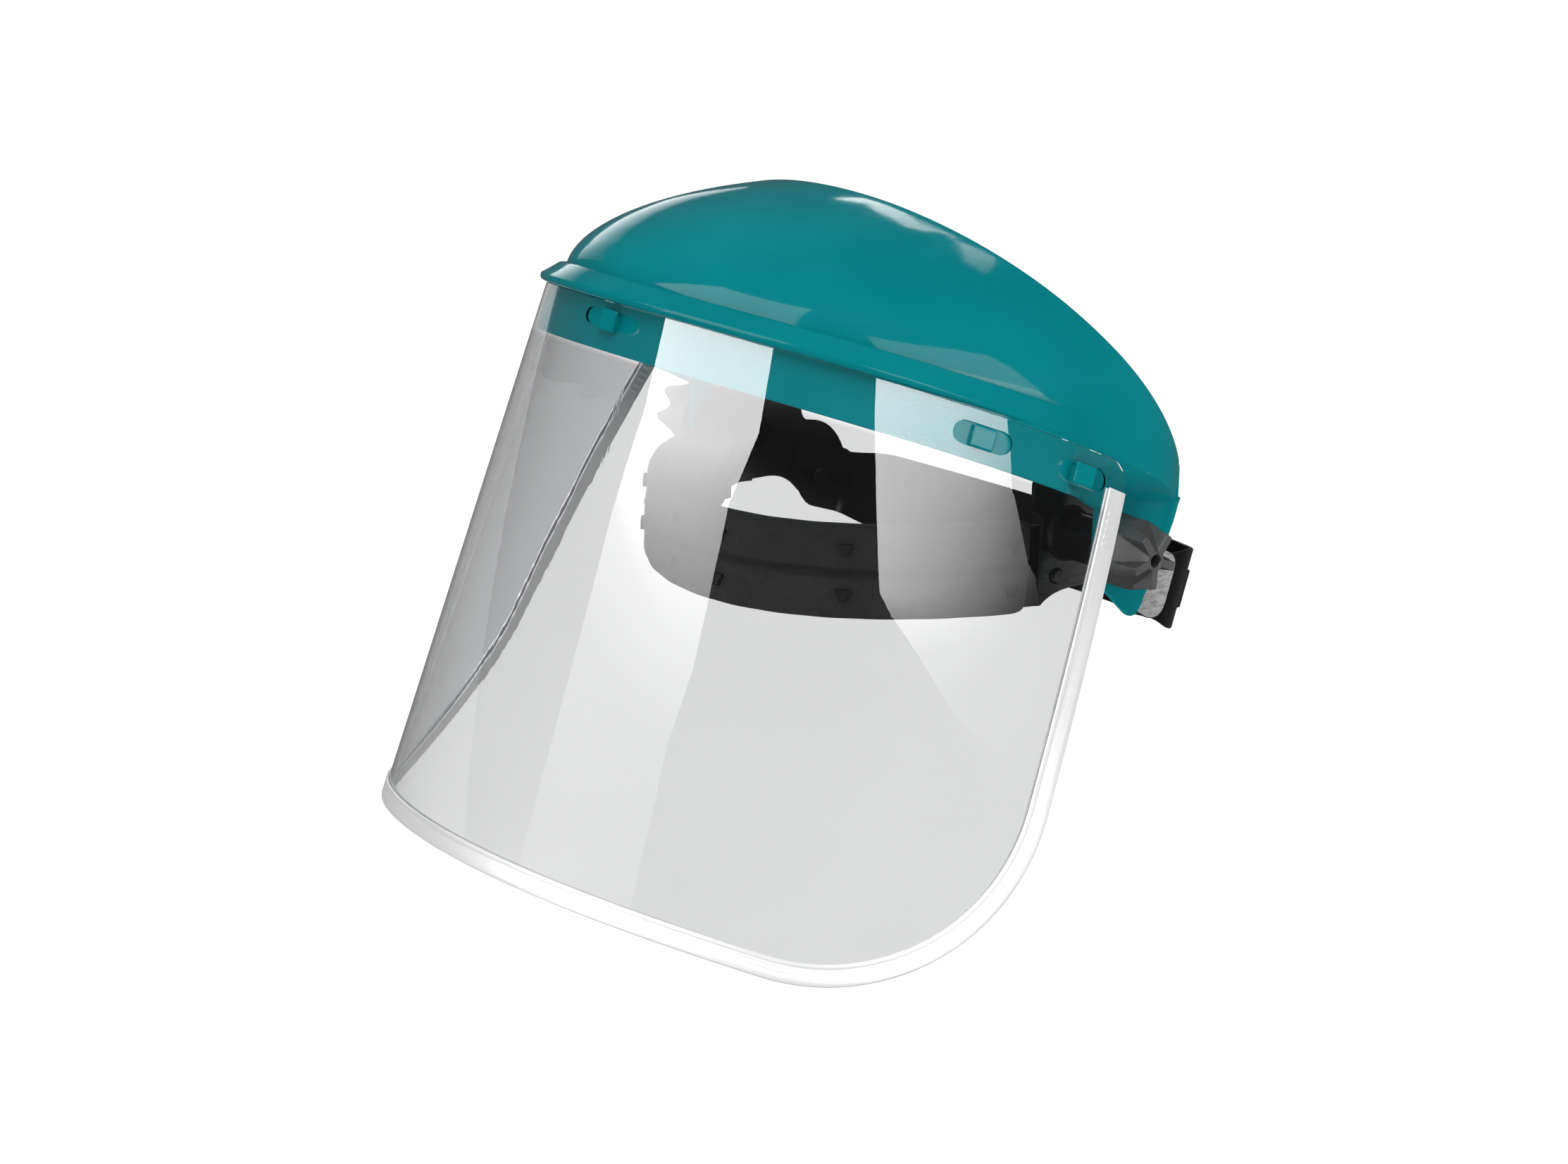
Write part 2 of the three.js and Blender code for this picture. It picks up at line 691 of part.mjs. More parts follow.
// The nape strap: two slotted arms inside the side straps and a taller rear arc.
function napeStrap() {
  const middle = NAPE_X + STRAP / 2;
  const half = STRAP / 2;
  const arc = NAPE_REAR - NAPE_ARM_END;
  const stations = [];
  const armStations = [NAPE_ARM_START, 29, 32, 36, 40, 46];
  for (const along of armStations) {
    stations.push({ x: middle, along, normal: new THREE.Vector2(1, 0), turn: 0 });
  }
  const steps = 30;
  for (let i = 0; i <= steps; i += 1) {
    const turn = (Math.PI * i) / steps;
    const normal = new THREE.Vector2(Math.cos(turn) / middle, Math.sin(turn) / arc).normalize();
    stations.push({
      x: middle * Math.cos(turn),
      along: NAPE_ARM_END + arc * Math.sin(turn),
      normal,
      turn: Math.min(turn, Math.PI - turn),
    });
  }
  for (const station of stations.slice(0, armStations.length).reverse()) {
    stations.push({ ...station, x: -middle, normal: new THREE.Vector2(-1, 0) });
  }
  const rings = stations.map(({ x, along, normal, turn }) => {
    const tall = NAPE_ARM_HALF + (NAPE_REAR_HALF - NAPE_ARM_HALF) * smoothStep(turn, 0.0, 0.4);
    const low = -tall + NAPE_ARM_ROUNDING * (1 - smoothStep(along, NAPE_ARM_START, 41));
    return [[-half, low], [half, low], [half, tall], [-half, tall]].map(([out, up]) => {
      const at = tilted(along + normal.y * out, NAPE_MIDDLE + up);
      return new THREE.Vector3(x + normal.x * out, at.x, at.y);
    });
  });
  const tall = NAPE_ARM_HALF;
  const corners = [[-half, -tall], [half, -tall], [half, tall], [-half, tall]];
  const flat = corners.map((corner) => new THREE.Vector2(...corner));
  const slots = [-1, 1].map((side) => {
    const shape = new THREE.Shape();
    const radius = 2.3;
    const from = SIZE_PEG_AT - SIZE_BACK;
    const to = SIZE_PEG_AT + SIZE_FORWARD;
    const low = [tilted(from, SIZE_PEG_UP - radius), tilted(to, SIZE_PEG_UP - radius)];
    const high = [tilted(to, SIZE_PEG_UP + radius), tilted(from, SIZE_PEG_UP + radius)];
    const front = tilted(from, SIZE_PEG_UP);
    const back = tilted(to, SIZE_PEG_UP);
    shape.moveTo(low[0].x, low[0].y);
    shape.lineTo(low[1].x, low[1].y);
    shape.absarc(back.x, back.y, radius, -Math.PI / 2 - NAPE_TILT, Math.PI / 2 - NAPE_TILT, false);
    shape.lineTo(high[1].x, high[1].y);
    shape.absarc(front.x, front.y, radius, Math.PI / 2 - NAPE_TILT, 1.5 * Math.PI - NAPE_TILT, false);
    return sidePlate(shape, side * middle - 5, 10);
  });
  return cut(loft(rings, flat, flat), slots);
}

// --- Fasteners and knobs ---------------------------------------------------------------

function pivotBolt() {
  const headEnd = FRONT_HALF_WIDTH - STRAP / 2 - 3 * GAP;
  return turned([
    [0, headEnd - BOLT_HEAD],
    [BOLT_HEAD_RADIUS - 1, headEnd - BOLT_HEAD],
    [BOLT_HEAD_RADIUS, headEnd - BOLT_HEAD + 1],
    [BOLT_HEAD_RADIUS, headEnd],
    [BOLT_RADIUS, headEnd],
    [BOLT_RADIUS, BOLT_TIP_X - 0.6],
    [BOLT_RADIUS - 0.6, BOLT_TIP_X],
    [0, BOLT_TIP_X],
  ]);
}

function frictionWasher() {
  const to = WASHER_X + WASHER;
  return turned([[PIVOT_BORE, WASHER_X], [8, WASHER_X], [8, to], [PIVOT_BORE, to]]);
}

function threadedInsert() {
  const from = KNOB_FLANGE_X + 0.8;
  const inner = BOLT_RADIUS + 0.08;
  return turned([
    [inner, from],
    [5.0, from],
    [5.0, from + 1.2],
    [4.5, from + 1.6],
    [4.5, from + 12],
    [inner, from + 12],
  ]);
}

// Headed pegs that pass through a strap: the head is outside, the button inside.
function peg(from, to, radius, head, headThickness) {
  return turned([
    [0, from - headThickness],
    [head - 0.8, from - headThickness],
    [head, from],
    [radius, from],
    [radius, to],
    [head, to],
    [head - 0.8, to + headThickness],
    [0, to + headThickness],
  ], 12);
}

function knobRadius(angle, share) {
  const sector = (2 * Math.PI) / KNOB_LOBES;
  const away = Math.abs(((((angle % sector) + sector) % sector) - sector / 2));
  const lobe = KNOB_RADIUS - 0.4 - 2.4 * share;
  const valley = KNOB_RADIUS - 0.8 - 6.3 * share;
  const ridge = 1 - smoothStep(sector / 2 - away, 0.2, 0.5);
  return valley + (lobe - valley) * ridge;
}

function pivotKnob() {
  const segments = 40;
  const stations = [
    { x: KNOB_FLANGE_X, share: null },
    { x: KNOB_FLANGE_X + 2.2, share: null },
    { x: KNOB_FLANGE_X + 2.8, share: 0 },
    { x: KNOB_FLANGE_X + 8, share: 0.32 },
    { x: KNOB_FLANGE_X + 14, share: 0.68 },
    { x: KNOB_FACE_X, share: 1 },
  ];
  const rings = stations.map(({ x, share }) => {
    const ring = [];
    for (let i = 0; i < segments; i += 1) {
      const angle = (2 * Math.PI * i) / segments;
      const radius = share === null ? KNOB_RADIUS : knobRadius(angle, share);
      ring.push(new THREE.Vector3(x, radius * Math.cos(angle), radius * Math.sin(angle)));
    }
    return ring;
  });
  const flat = (ring) => ring.map((point) => new THREE.Vector2(point.y, point.z));
  const body = loft(rings, flat(rings[0]), flat(rings[rings.length - 1]));
  return cut(body, [
    rodAlongX(5.3, KNOB_FLANGE_X - 1, KNOB_FLANGE_X + 2.3),
    rodAlongX(4.8, KNOB_FLANGE_X - 1, KNOB_FLANGE_X + 14),
    rodAlongX(2.2, KNOB_FLANGE_X - 1, KNOB_FACE_X + 1),
  ]);
}

// --- Assembly ------------------------------------------------------------------------------

addPiece('browguard_shell', browguardShell(), TEAL);
addPiece('visor', visorSheet(), CLEAR);
addPiece('visor_binding', bindingChannel(), ALUMINIUM);

addPiece('front_band', frontBand(), STRAP_BLACK);
addPiece('sweatband', sweatband(), PAD_GREY);
addPiece('side_strap_left', sideStrap(CROWN_TOP + 1), STRAP_BLACK);
addPiece('side_strap_right', mirrored(sideStrap(CROWN_TOP - 1)), STRAP_BLACK);
addPiece('nape_strap', napeStrap(), STRAP_BLACK);

const crownPeg = peg(-CROWN_TOP - 2, -CROWN_TOP + 2, 2.0, 4, 1.4);
crownPeg.rotateY(Math.PI / 2);
crownPeg.translate(0, CROWN_FOOT.y + CROWN_LEAN * (CROWN_TOP - CROWN_FOOT.z), 0);
addPiece('crown_peg', crownPeg, STRAP_BLACK);

const sizePeg = peg(NAPE_X - 1.8, SIDE_X + STRAP + GAP, 2.0, 4.2, 1.4);
const sizePegAt = tilted(SIZE_PEG_AT, SIZE_PEG_UP);
sizePeg.translate(0, sizePegAt.x, sizePegAt.y);
addPair('size_peg', sizePeg, STRAP_BLACK);

const strapRivet = peg(FRONT_HALF_WIDTH - STRAP, SIDE_X + STRAP + GAP, RIVET_RADIUS, 3, 1);
strapRivet.translate(0, RIVET_AT.y, RIVET_AT.z);
addPair('strap_rivet', strapRivet, STRAP_BLACK);

addPair('pivot_bolt', pivotBolt(), STEEL);
addPair('friction_washer', frictionWasher(), STRAP_BLACK);
addPair('threaded_insert', threadedInsert(), STEEL);
addPair('pivot_knob', pivotKnob(), KNOB_BLACK);

export default model;
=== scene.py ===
import math

import bmesh
import bpy
from mathutils import Matrix, Vector


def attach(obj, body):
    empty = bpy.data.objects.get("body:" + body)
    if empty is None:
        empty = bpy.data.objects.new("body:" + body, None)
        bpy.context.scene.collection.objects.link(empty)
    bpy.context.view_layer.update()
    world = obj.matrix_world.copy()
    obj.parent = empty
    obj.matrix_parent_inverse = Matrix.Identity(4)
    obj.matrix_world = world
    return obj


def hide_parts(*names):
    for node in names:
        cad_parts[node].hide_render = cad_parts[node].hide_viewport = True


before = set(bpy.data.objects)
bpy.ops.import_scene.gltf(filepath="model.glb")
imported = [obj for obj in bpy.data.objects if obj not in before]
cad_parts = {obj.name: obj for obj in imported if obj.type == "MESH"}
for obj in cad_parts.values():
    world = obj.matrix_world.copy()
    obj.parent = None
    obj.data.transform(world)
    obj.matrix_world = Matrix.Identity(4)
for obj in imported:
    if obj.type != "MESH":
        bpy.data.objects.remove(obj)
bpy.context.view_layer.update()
scene = bpy.context.scene

# Shapes below are worked out in millimetres in the row frame, and scaled once by mesh_data().
MM = 0.001
DEGREE = math.pi / 180

# Visor cone, shell, headgear and knob sizes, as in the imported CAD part.
VISOR_WIDTH, VISOR_TOP, VISOR_BOTTOM = 400, 2, 200
VISOR_HALF_THICKNESS = 0.5
TOP_CORNER, BOTTOM_CORNER = 8, 77
FLARE = 15 * DEGREE
CONE_RADIUS, CONE_Y, CONE_Z = 116.8, -14, 75
APEX = CONE_RADIUS / math.sin(FLARE)
SLOTS = ((-182, 11, 19), (-143, 10.5, 21), (0, 8, 30), (143, 10.5, 21), (182, 11, 19))
SHELL_WALL, BAND_HEIGHT = 2.2, 19.2
LIP_DEPTH, LIP_HEIGHT, LIP_DROP = 3.0, 4.2, 1.2
DOME_INSET, DOME_TOP = 4.5, 109
SHELL_END = 110.3 * DEGREE
RIM_REAR, RIM_FRONT = (29, 27), (-35, 106.5)
EAR_X, EAR_FLAT_TOP = 115, 13
STRAP = 1.6
FRONT_HALF_WIDTH, FRONT_DEPTH, FRONT_Y = 89, 93, 3
FRONT_LOW, FRONT_HIGH, FRONT_DROP = -25.6, 3.3, 5.5
SIDE_X, NAPE_X = 90.1, 88.2
NAPE_TILT, NAPE_MIDDLE = 15.3 * DEGREE, -11.1
CROWN_TOP, CROWN_Y, CROWN_Z = 73, 19, 8
KNOB_FLANGE_X, KNOB_FACE_X = 115.5, 135.6


def smooth_step(value, low, high):
    share = min(max((value - low) / (high - low), 0), 1)
    return share * share * (3 - 2 * share)


def mix(a, b, share):
    return a + (b - a) * share


# --- Mesh helpers ---------------------------------------------------------------


def mesh_data(name, points, faces, uvs=None):
    """A mesh from points in millimetres. uvs holds one list of (u, v) in millimetres per face."""
    data = bpy.data.meshes.new(name)
    data.from_pydata([Vector(p) * MM for p in points], [], faces)
    if uvs:
        layer = data.uv_layers.new(name="UVMap")
        flat = [Vector(uv) * MM for face in uvs for uv in face]
        for loop, uv in zip(layer.data, flat):
            loop.uv = uv
    bm = bmesh.new()
    bm.from_mesh(data)
    bmesh.ops.recalc_face_normals(bm, faces=bm.faces)
    bm.to_mesh(data)
    bm.free()
    return data


def loft(rings, closed=False):
    """Points, faces and UVs of a tube through rings of matching points, with end caps unless it is closed."""
    count = len(rings[0])
    points = [p for ring in rings for p in ring]
    around = [0.0]
    middle = rings[len(rings) // 2]
    for j in range(count):
        around.append(around[-1] + (Vector(middle[(j + 1) % count]) - Vector(middle[j])).length)
    along = [0.0]
    for a, b in zip(rings, rings[1:] + rings[:1]):
        along.append(along[-1] + (Vector(b[0]) - Vector(a[0])).length)
    faces, uvs = [], []
    for i in range(len(rings) if closed else len(rings) - 1):
        other = (i + 1) % len(rings)
        for j in range(count):
            k = (j + 1) % count
            faces.append((i * count + j, i * count + k, other * count + k, other * count + j))
            u0, u1, v0, v1 = around[j], around[j + 1], along[i], along[i + 1]
            uvs.append(((v0, u0), (v0, u1), (v1, u1), (v1, u0)))
    if not closed:
        for start in (0, (len(rings) - 1) * count):
            faces.append(tuple(range(start, start + count)))
            uvs.append(tuple((around[j], 0) for j in range(count)))
    return points, faces, uvs


def merge(*parts):
    """Several (points, faces, uvs) as one."""
    points, faces, uvs = [], [], []
    for more_points, more_faces, more_uvs in parts:
        start = len(points)
        points += list(more_points)
        faces += [tuple(start + i for i in face) for face in more_faces]
        uvs += list(more_uvs) if more_uvs else [tuple((0, 0) for _ in face) for face in more_faces]
    return points, faces, uvs


def piece(name, data, body, material, sharp=32):
    data.shade_smooth()
    data.set_sharp_from_angle(angle=sharp * DEGREE)
    data.materials.clear()
    data.materials.append(material)
    obj = bpy.data.objects.new(name, data)
    scene.collection.objects.link(obj)
    normals = obj.modifiers.new("normals", "WEIGHTED_NORMAL")
    normals.keep_sharp = True
    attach(obj, body)
    return obj


def evaluated(data, *modifiers):
    """The mesh that the modifiers leave. Each one is given as (type, {setting: value})."""
    obj = bpy.data.objects.new("work", data)
    scene.collection.objects.link(obj)
    for kind, settings in modifiers:
        modifier = obj.modifiers.new(kind, kind)
        for key, value in settings.items():
            setattr(modifier, key, value)
    bpy.context.view_layer.update()
    result = bpy.data.meshes.new_from_object(obj.evaluated_get(bpy.context.evaluated_depsgraph_get()))
    bpy.data.objects.remove(obj)
    return result


def drilled(data, tools):
    """The mesh with the tool meshes cut out of it."""
    joined = mesh_data("tools", *merge(*tools))
    cutter = bpy.data.objects.new("cutter", joined)
    scene.collection.objects.link(cutter)
    result = evaluated(data, ("BOOLEAN", {"object": cutter, "operation": "DIFFERENCE", "solver": "EXACT"}))
    bpy.data.objects.remove(cutter)
    return result


def bevelled(data, width, segments=2, angle=35):
    return evaluated(data, ("BEVEL", {
        "width": width * MM,
        "segments": segments,
        "limit_method": "ANGLE",
        "angle_limit": angle * DEGREE,
        "miter_outer": "MITER_ARC",
    }))


def prism(outline, place, low, high):
    """A plate with a flat outline of (a, b) points; place(a, b, depth) puts a point in the row frame."""
    rings = [[place(a, b, depth) for a, b in outline] for depth in (low, high)]
    return loft(rings)


def along_x(a, b, depth):
    return (depth, a, b)


def circle(radius, segments, a=0, b=0):
    turns = [2 * math.pi * i / segments for i in range(segments)]
    return [(a + radius * math.cos(t), b + radius * math.sin(t)) for t in turns]


def stadium(length, height, steps=8):
    radius = height / 2
    half = length / 2 - radius
    right = [(half + radius * math.cos(t), radius * math.sin(t))
             for t in (math.pi * (i / steps - 0.5) for i in range(steps + 1))]
    return right + [(-a, -b) for a, b in right]


def bezier(start, control, end, steps):
    """Points after start of a quadratic curve."""
    points = []
    for i in range(1, steps + 1):
        t = i / steps
        points.append(tuple(
            (1 - t) ** 2 * s + 2 * t * (1 - t) * c + t * t * e
            for s, c, e in zip(start, control, end)
        ))
    return points


def mirrored(part):
    points, faces, uvs = part
    return [(-x, y, z) for x, y, z in points], faces, uvs


# --- Materials --------------------------------------------------------------------


class Look:
    """A node material with one Principled shader."""

    def __init__(self, name, **constants):
        self.material = bpy.data.materials.new(name)
        self.material.use_nodes = True
        self.tree = self.material.node_tree
        self.shader = self.tree.nodes["Principled BSDF"]
        self.output = self.tree.nodes["Material Output"]
        for key, value in constants.items():
            self.shader.inputs[key.replace("_", " ")].default_value = value

    def node(self, kind, inputs=None, **settings):
        made = self.tree.nodes.new(kind)
        for key, value in settings.items():
            setattr(made, key, value)
        for key, value in (inputs or {}).items():
            if isinstance(value, bpy.types.NodeSocket):
                self.tree.links.new(value, made.inputs[key])
            else:
                made.inputs[key].default_value = value
        return made

    def drive(self, socket, value):
        self.tree.links.new(value, self.shader.inputs[socket])

    def place(self, coordinate="Object", scale=(1, 1, 1)):
        source = self.node("ShaderNodeTexCoord").outputs[coordinate]
        return self.node("ShaderNodeMapping", {"Vector": source, "Scale": scale}).outputs[0]

    def noise(self, vector, scale, detail=4.0, roughness=0.55):
        return self.node("ShaderNodeTexNoise", {
            "Vector": vector, "Scale": scale, "Detail": detail, "Roughness": roughness,
        }).outputs["Fac"]

    def ramp(self, value, low, high, start=0.35, end=0.65):
        made = self.node("ShaderNodeValToRGB", {"Fac": value})
        first, last = made.color_ramp.elements
        first.position, last.position = start, end
        first.color, last.color = (*low, 1), (*high, 1)
        return made.outputs["Color"]

    def span(self, value, low, high, start=0.3, end=0.7):
        return self.node("ShaderNodeMapRange", {
            "Value": value, "From Min": start, "From Max": end, "To Min": low, "To Max": high,
        }).outputs["Result"]

    def blend(self, a, b, mode, share=1.0):
        made = self.node("ShaderNodeMix", {"Factor": share}, data_type="RGBA", blend_type=mode)
        self.tree.links.new(a, made.inputs["A"])
        self.tree.links.new(b, made.inputs["B"])
        return made.outputs["Result"]

    def fade(self, colour, other, share):
        made = self.node("ShaderNodeMix", {"Factor": share}, data_type="RGBA")
        self.tree.links.new(colour, made.inputs["A"])
        made.inputs["B"].default_value = (*other, 1)
        return made.outputs["Result"]

    def math(self, operation, a, b):
        return self.node("ShaderNodeMath", {0: a, 1: b}, operation=operation).outputs[0]

    def bump(self, height, distance, strength=1.0):
        made = self.node("ShaderNodeBump", {
            "Height": height, "Distance": distance, "Strength": strength,
        })
        self.drive("Normal", made.outputs["Normal"])


def moulded(name, dark, light, roughness, peel, peel_scale, **constants):
    """Moulded plastic: a faint flow of colour, fine scuffs in the gloss and a slight uneven skin."""
    look = Look(name, **constants)
    at = look.place()
    flow = look.noise(at, 14, 2)
    look.drive("Base Color", look.ramp(flow, dark, light))
    scuff = look.noise(look.place(scale=(1, 1, 3.5)), 260, 6, 0.7)
    look.drive("Roughness", look.span(scuff, roughness[0], roughness[1], 0.42, 0.72))
    look.bump(look.noise(at, peel_scale, 3), peel)
    return look.material


SHELL = moulded(
    "shell_plastic", (0.0, 0.150, 0.170), (0.002, 0.182, 0.205), (0.06, 0.12), 0.00002, 90,
    Specular_IOR_Level=0.22, IOR=1.35,
)
STRAP_LOOK = moulded(
    "strap_plastic", (0.0032, 0.0032, 0.0034), (0.0052, 0.0052, 0.0054), (0.16, 0.26), 0.00001, 420,
    Specular_IOR_Level=0.3, IOR=1.5,
)
KNOB = moulded(
    "knob_plastic", (0.030, 0.029, 0.030), (0.042, 0.041, 0.042), (0.42, 0.52), 0.000015, 900,
    Specular_IOR_Level=0.9, IOR=1.5,
)
WASHER = moulded(
    "washer_plastic", (0.016, 0.016, 0.017), (0.024, 0.024, 0.025), (0.55, 0.7), 0.00006, 1200,
)


def sheet_depth(look):
    """How far below the flat sheet's top line a point of the cone lies, in metres."""
    x, y, z = look.node("ShaderNodeSeparateXYZ", {0: look.place()}).outputs
    turn = look.math("ARCTAN2", x, look.math("SUBTRACT", CONE_Y * MM, y))
    lean = look.math("MULTIPLY", turn, math.sin(FLARE))
    drop = look.math("DIVIDE", look.math("SUBTRACT", CONE_Z * MM, z), math.cos(FLARE))
    slant = look.math("ADD", drop, APEX * MM)
    return look.math("SUBTRACT", look.math("MULTIPLY", slant, look.math("COSINE", lean, 0.0)), APEX * MM)


def clear_look():
    """Clear sheet with faint marks in its gloss, left untinted along its top as painted light on the band
    behind it. Lamp and bounced light pass it.
    """
    look = Look("clear_sheet", IOR=1.5, Transmission_Weight=1.0)
    tint = look.ramp(look.noise(look.place(), 9, 2), (0.69, 0.695, 0.70), (0.72, 0.725, 0.73))
    # Painted light: the sheet loses its tint along its top, where the band lies behind it, so the band seen
    # through it stays bright.
    painted_light_near_top = look.span(sheet_depth(look), 1.0, 0.0, (BAND_HEIGHT - 1.2) * MM, (BAND_HEIGHT + 1.3) * MM)
    look.drive("Base Color", look.fade(tint, (1.0, 1.0, 1.0), painted_light_near_top))
    marks = look.noise(look.place(scale=(1, 1, 0.25)), 190, 8, 0.75)
    look.drive("Roughness", look.span(marks, 0.0, 0.05, 0.62, 0.86))
    see = look.node("ShaderNodeBsdfTransparent", {"Color": (0.97, 0.975, 0.98, 1)})
    path = look.node("ShaderNodeLightPath")
    light = look.math("MAXIMUM", path.outputs["Is Shadow Ray"], path.outputs["Is Diffuse Ray"])
    both = look.node("ShaderNodeMixShader", {0: light})
    look.tree.links.new(look.shader.outputs[0], both.inputs[1])
    look.tree.links.new(see.outputs[0], both.inputs[2])
    look.tree.links.new(both.outputs[0], look.output.inputs["Surface"])
    return look.material


def metal_look(name, dark, light, roughness, grain, coordinate, depth, metallic=1.0):
    """Metal with a drawn grain, which is noise stretched by the scale in grain."""
    look = Look(name, Metallic=metallic)
    at = look.place(coordinate, grain)
    lines = look.noise(at, 1.0, 5, 0.6)
    cloud = look.noise(look.place(), 60, 3)
    streaks = look.math("MULTIPLY", lines, look.math("ADD", cloud, 0.5))
    look.drive("Base Color", look.ramp(streaks, dark, light, 0.3, 0.6))
    look.drive("Roughness", look.span(lines, roughness[0], roughness[1]))
    look.bump(lines, depth)
    return look.material


def cloth_look():
    """Dark woven cloth over foam: crossed threads, soft nap, uneven dye and painted shade darkening the
    seam's groove.
    """
    look = Look("sweatband_cloth", Sheen_Weight=0.06, Sheen_Roughness=0.5, Specular_IOR_Level=0.3)
    threads = []
    for direction in ("X", "Y"):
        wave = look.node("ShaderNodeTexWave", {
            "Vector": look.place("UV"),
            "Scale": 640.0,
            "Distortion": 1.2,
            "Detail": 2.0,
            "Detail Scale": 3.0,
        }, bands_direction=direction)
        threads.append(wave.outputs["Fac"])
    weave = look.math("MULTIPLY", threads[0], threads[1])
    dye = look.noise(look.place(), 55, 5, 0.6)
    fluff = look.noise(look.place(), 900, 4, 0.7)
    base = look.ramp(dye, (0.014, 0.014, 0.0145), (0.022, 0.022, 0.023))
    shade = look.ramp(weave, (0.8, 0.8, 0.8), (1.0, 1.0, 1.0), 0.05, 0.5)
    # Painted shade: the colour goes nearly black where the seam's groove is deep.
    seam_groove_shade = look.node("ShaderNodeAttribute", attribute_name="seam").outputs["Fac"]
    seam = look.span(seam_groove_shade, 0.0, 0.9, 0.15, 0.6)
    look.drive("Base Color", look.fade(look.blend(base, shade, "MULTIPLY"), (0.0005, 0.0005, 0.0005), seam))
    look.drive("Roughness", look.span(fluff, 0.78, 0.95))
    look.bump(look.math("ADD", weave, look.math("MULTIPLY", fluff, 0.6)), 0.00012)
    return look.material


CLEAR = clear_look()
ALUMINIUM = metal_look(
    "binding_metal", (0.93, 0.935, 0.94), (0.98, 0.98, 0.985), (0.30, 0.44),
    grain=(25, 2600, 1), coordinate="UV", depth=0.000006, metallic=0.48,
)
STEEL = metal_look(
    "fastener_steel", (0.018, 0.018, 0.019), (0.032, 0.032, 0.033), (0.3, 0.46),
    grain=(60, 900, 900), coordinate="Object", depth=0.00001,
)
CLOTH = cloth_look()


# --- The visor's cone -----------------------------------------------------------------


def on_cone(across, down, out=0.0):
    slant = math.hypot(APEX + down, across)
    turn = math.atan2(across, APEX + down) / math.sin(FLARE)
    radius = slant * math.sin(FLARE) + out * math.cos(FLARE)
    return (
        radius * math.sin(turn),
        CONE_Y - radius * math.cos(turn),
        CONE_Z - (slant - APEX) * math.cos(FLARE) + out * math.sin(FLARE),
    )


def sheet_reach(turn):
    """How far along its line of the cone, from the apex, the sheet starts and ends at this turn."""
    lean = turn * math.sin(FLARE)
    side = VISOR_WIDTH / 2

    def inside(slant):
        across = abs(slant * math.sin(lean))
        down = slant * math.cos(lean) - APEX
        if across > side or down < VISOR_TOP or down > VISOR_BOTTOM:
            return False
        for limit, corner, sign in ((VISOR_TOP, TOP_CORNER, 1), (VISOR_BOTTOM, BOTTOM_CORNER, -1)):
            centre = limit + sign * corner
            if across > side - corner and (down - centre) * sign < 0:
                if math.hypot(across - side + corner, down - centre) > corner:
                    return False
        return True

    middle = None
    for i in range(200):
        slant = (APEX + VISOR_TOP + (VISOR_BOTTOM - VISOR_TOP) * (i + 0.5) / 200) / math.cos(lean)
        if inside(slant):
            middle = slant
            break
    if middle is None:
        return None
    last = middle
    while inside(last + 1):
        last += 1

    def edge(good, bad):
        for _ in range(40):
            half = (good + bad) / 2
            if inside(half):
                good = half
            else:
                bad = half
        return good

    return edge(middle, middle - 30), edge(last, last + 2)


def on_line(turn, slant, out):
    radius = slant * math.sin(FLARE) + out * math.cos(FLARE)
    return (
        radius * math.sin(turn),
        CONE_Y - radius * math.cos(turn),
        CONE_Z - (slant - APEX) * math.cos(FLARE) + out * math.sin(FLARE),
    )


def visor_mesh():
    last = math.atan2(VISOR_WIDTH / 2 - 0.6, APEX + 8) / math.sin(FLARE)
    columns = 128
    half = VISOR_HALF_THICKNESS
    soft = 0.15
    rings = []
    for i in range(-columns, columns + 1):
        turn = last * i / columns
        start, end = sheet_reach(turn)
        ring = []
        for slant, out in (
            (start + soft, half), (end - soft, half), (end, half - soft), (end, soft - half),
            (end - soft, -half), (start + soft, -half), (start, soft - half), (start, half - soft),
        ):
            ring.append(on_line(turn, slant, out))
        rings.append(ring)
    data = mesh_data("visor_sheet", *loft(rings))
    tools = []
    for across, down, length in SLOTS:
        outline = stadium(length, 8)
        if across == 0:
            outline = [(a, b * (1 if abs(a) < 5 else 0.72)) for a, b in outline]
        tools.append(prism(outline, lambda a, b, d, p=across, q=down: on_cone(p + a, q - b, d), -4, 4))
    return drilled(data, tools)


def path_points(step):
    """The binding's path on the flat sheet, as (point, direction, rise of the crimp mark)."""
    side, corner = VISOR_WIDTH / 2, BOTTOM_CORNER
    straight = VISOR_BOTTOM - corner
    start = 12
    bend = math.pi / 2 * corner
    lengths = (straight - start, bend, 2 * (side - corner), bend, straight - start)
    total = sum(lengths)
    stations = {round(total * i / round(total / step), 3) for i in range(round(total / step) + 1)}
    marks = [start_at + 2.6 * k for start_at in (7.0, 205.0, total - 19.0) for k in range(5)]
    for mark in marks:
        stations |= {round(mark + d, 3) for d in (-0.75, -0.35, 0.35, 0.75)}
    found = []
    for s in sorted(stations):
        if s <= lengths[0]:
            at, direction = (-side, -start - s), (0, -1)
        elif s <= lengths[0] + lengths[1]:
            t = math.pi + (s - lengths[0]) / corner
            at = (-side + corner + corner * math.cos(t), -straight + corner * math.sin(t))
            direction = (-math.sin(t), math.cos(t))
        elif s <= sum(lengths[:3]):
            at, direction = (-side + corner + s - lengths[0] - lengths[1], -VISOR_BOTTOM), (1, 0)
        elif s <= sum(lengths[:4]):
            t = 1.5 * math.pi + (s - sum(lengths[:3])) / corner
            at = (side - corner + corner * math.cos(t), -straight + corner * math.sin(t))
            direction = (-math.sin(t), math.cos(t))
        else:
            at, direction = (side, -straight + s - sum(lengths[:4])), (0, 1)
        raised = any(abs(s - mark) < 0.5 for mark in marks)
        found.append((at, direction, 0.28 if raised else 0.0))
    return found


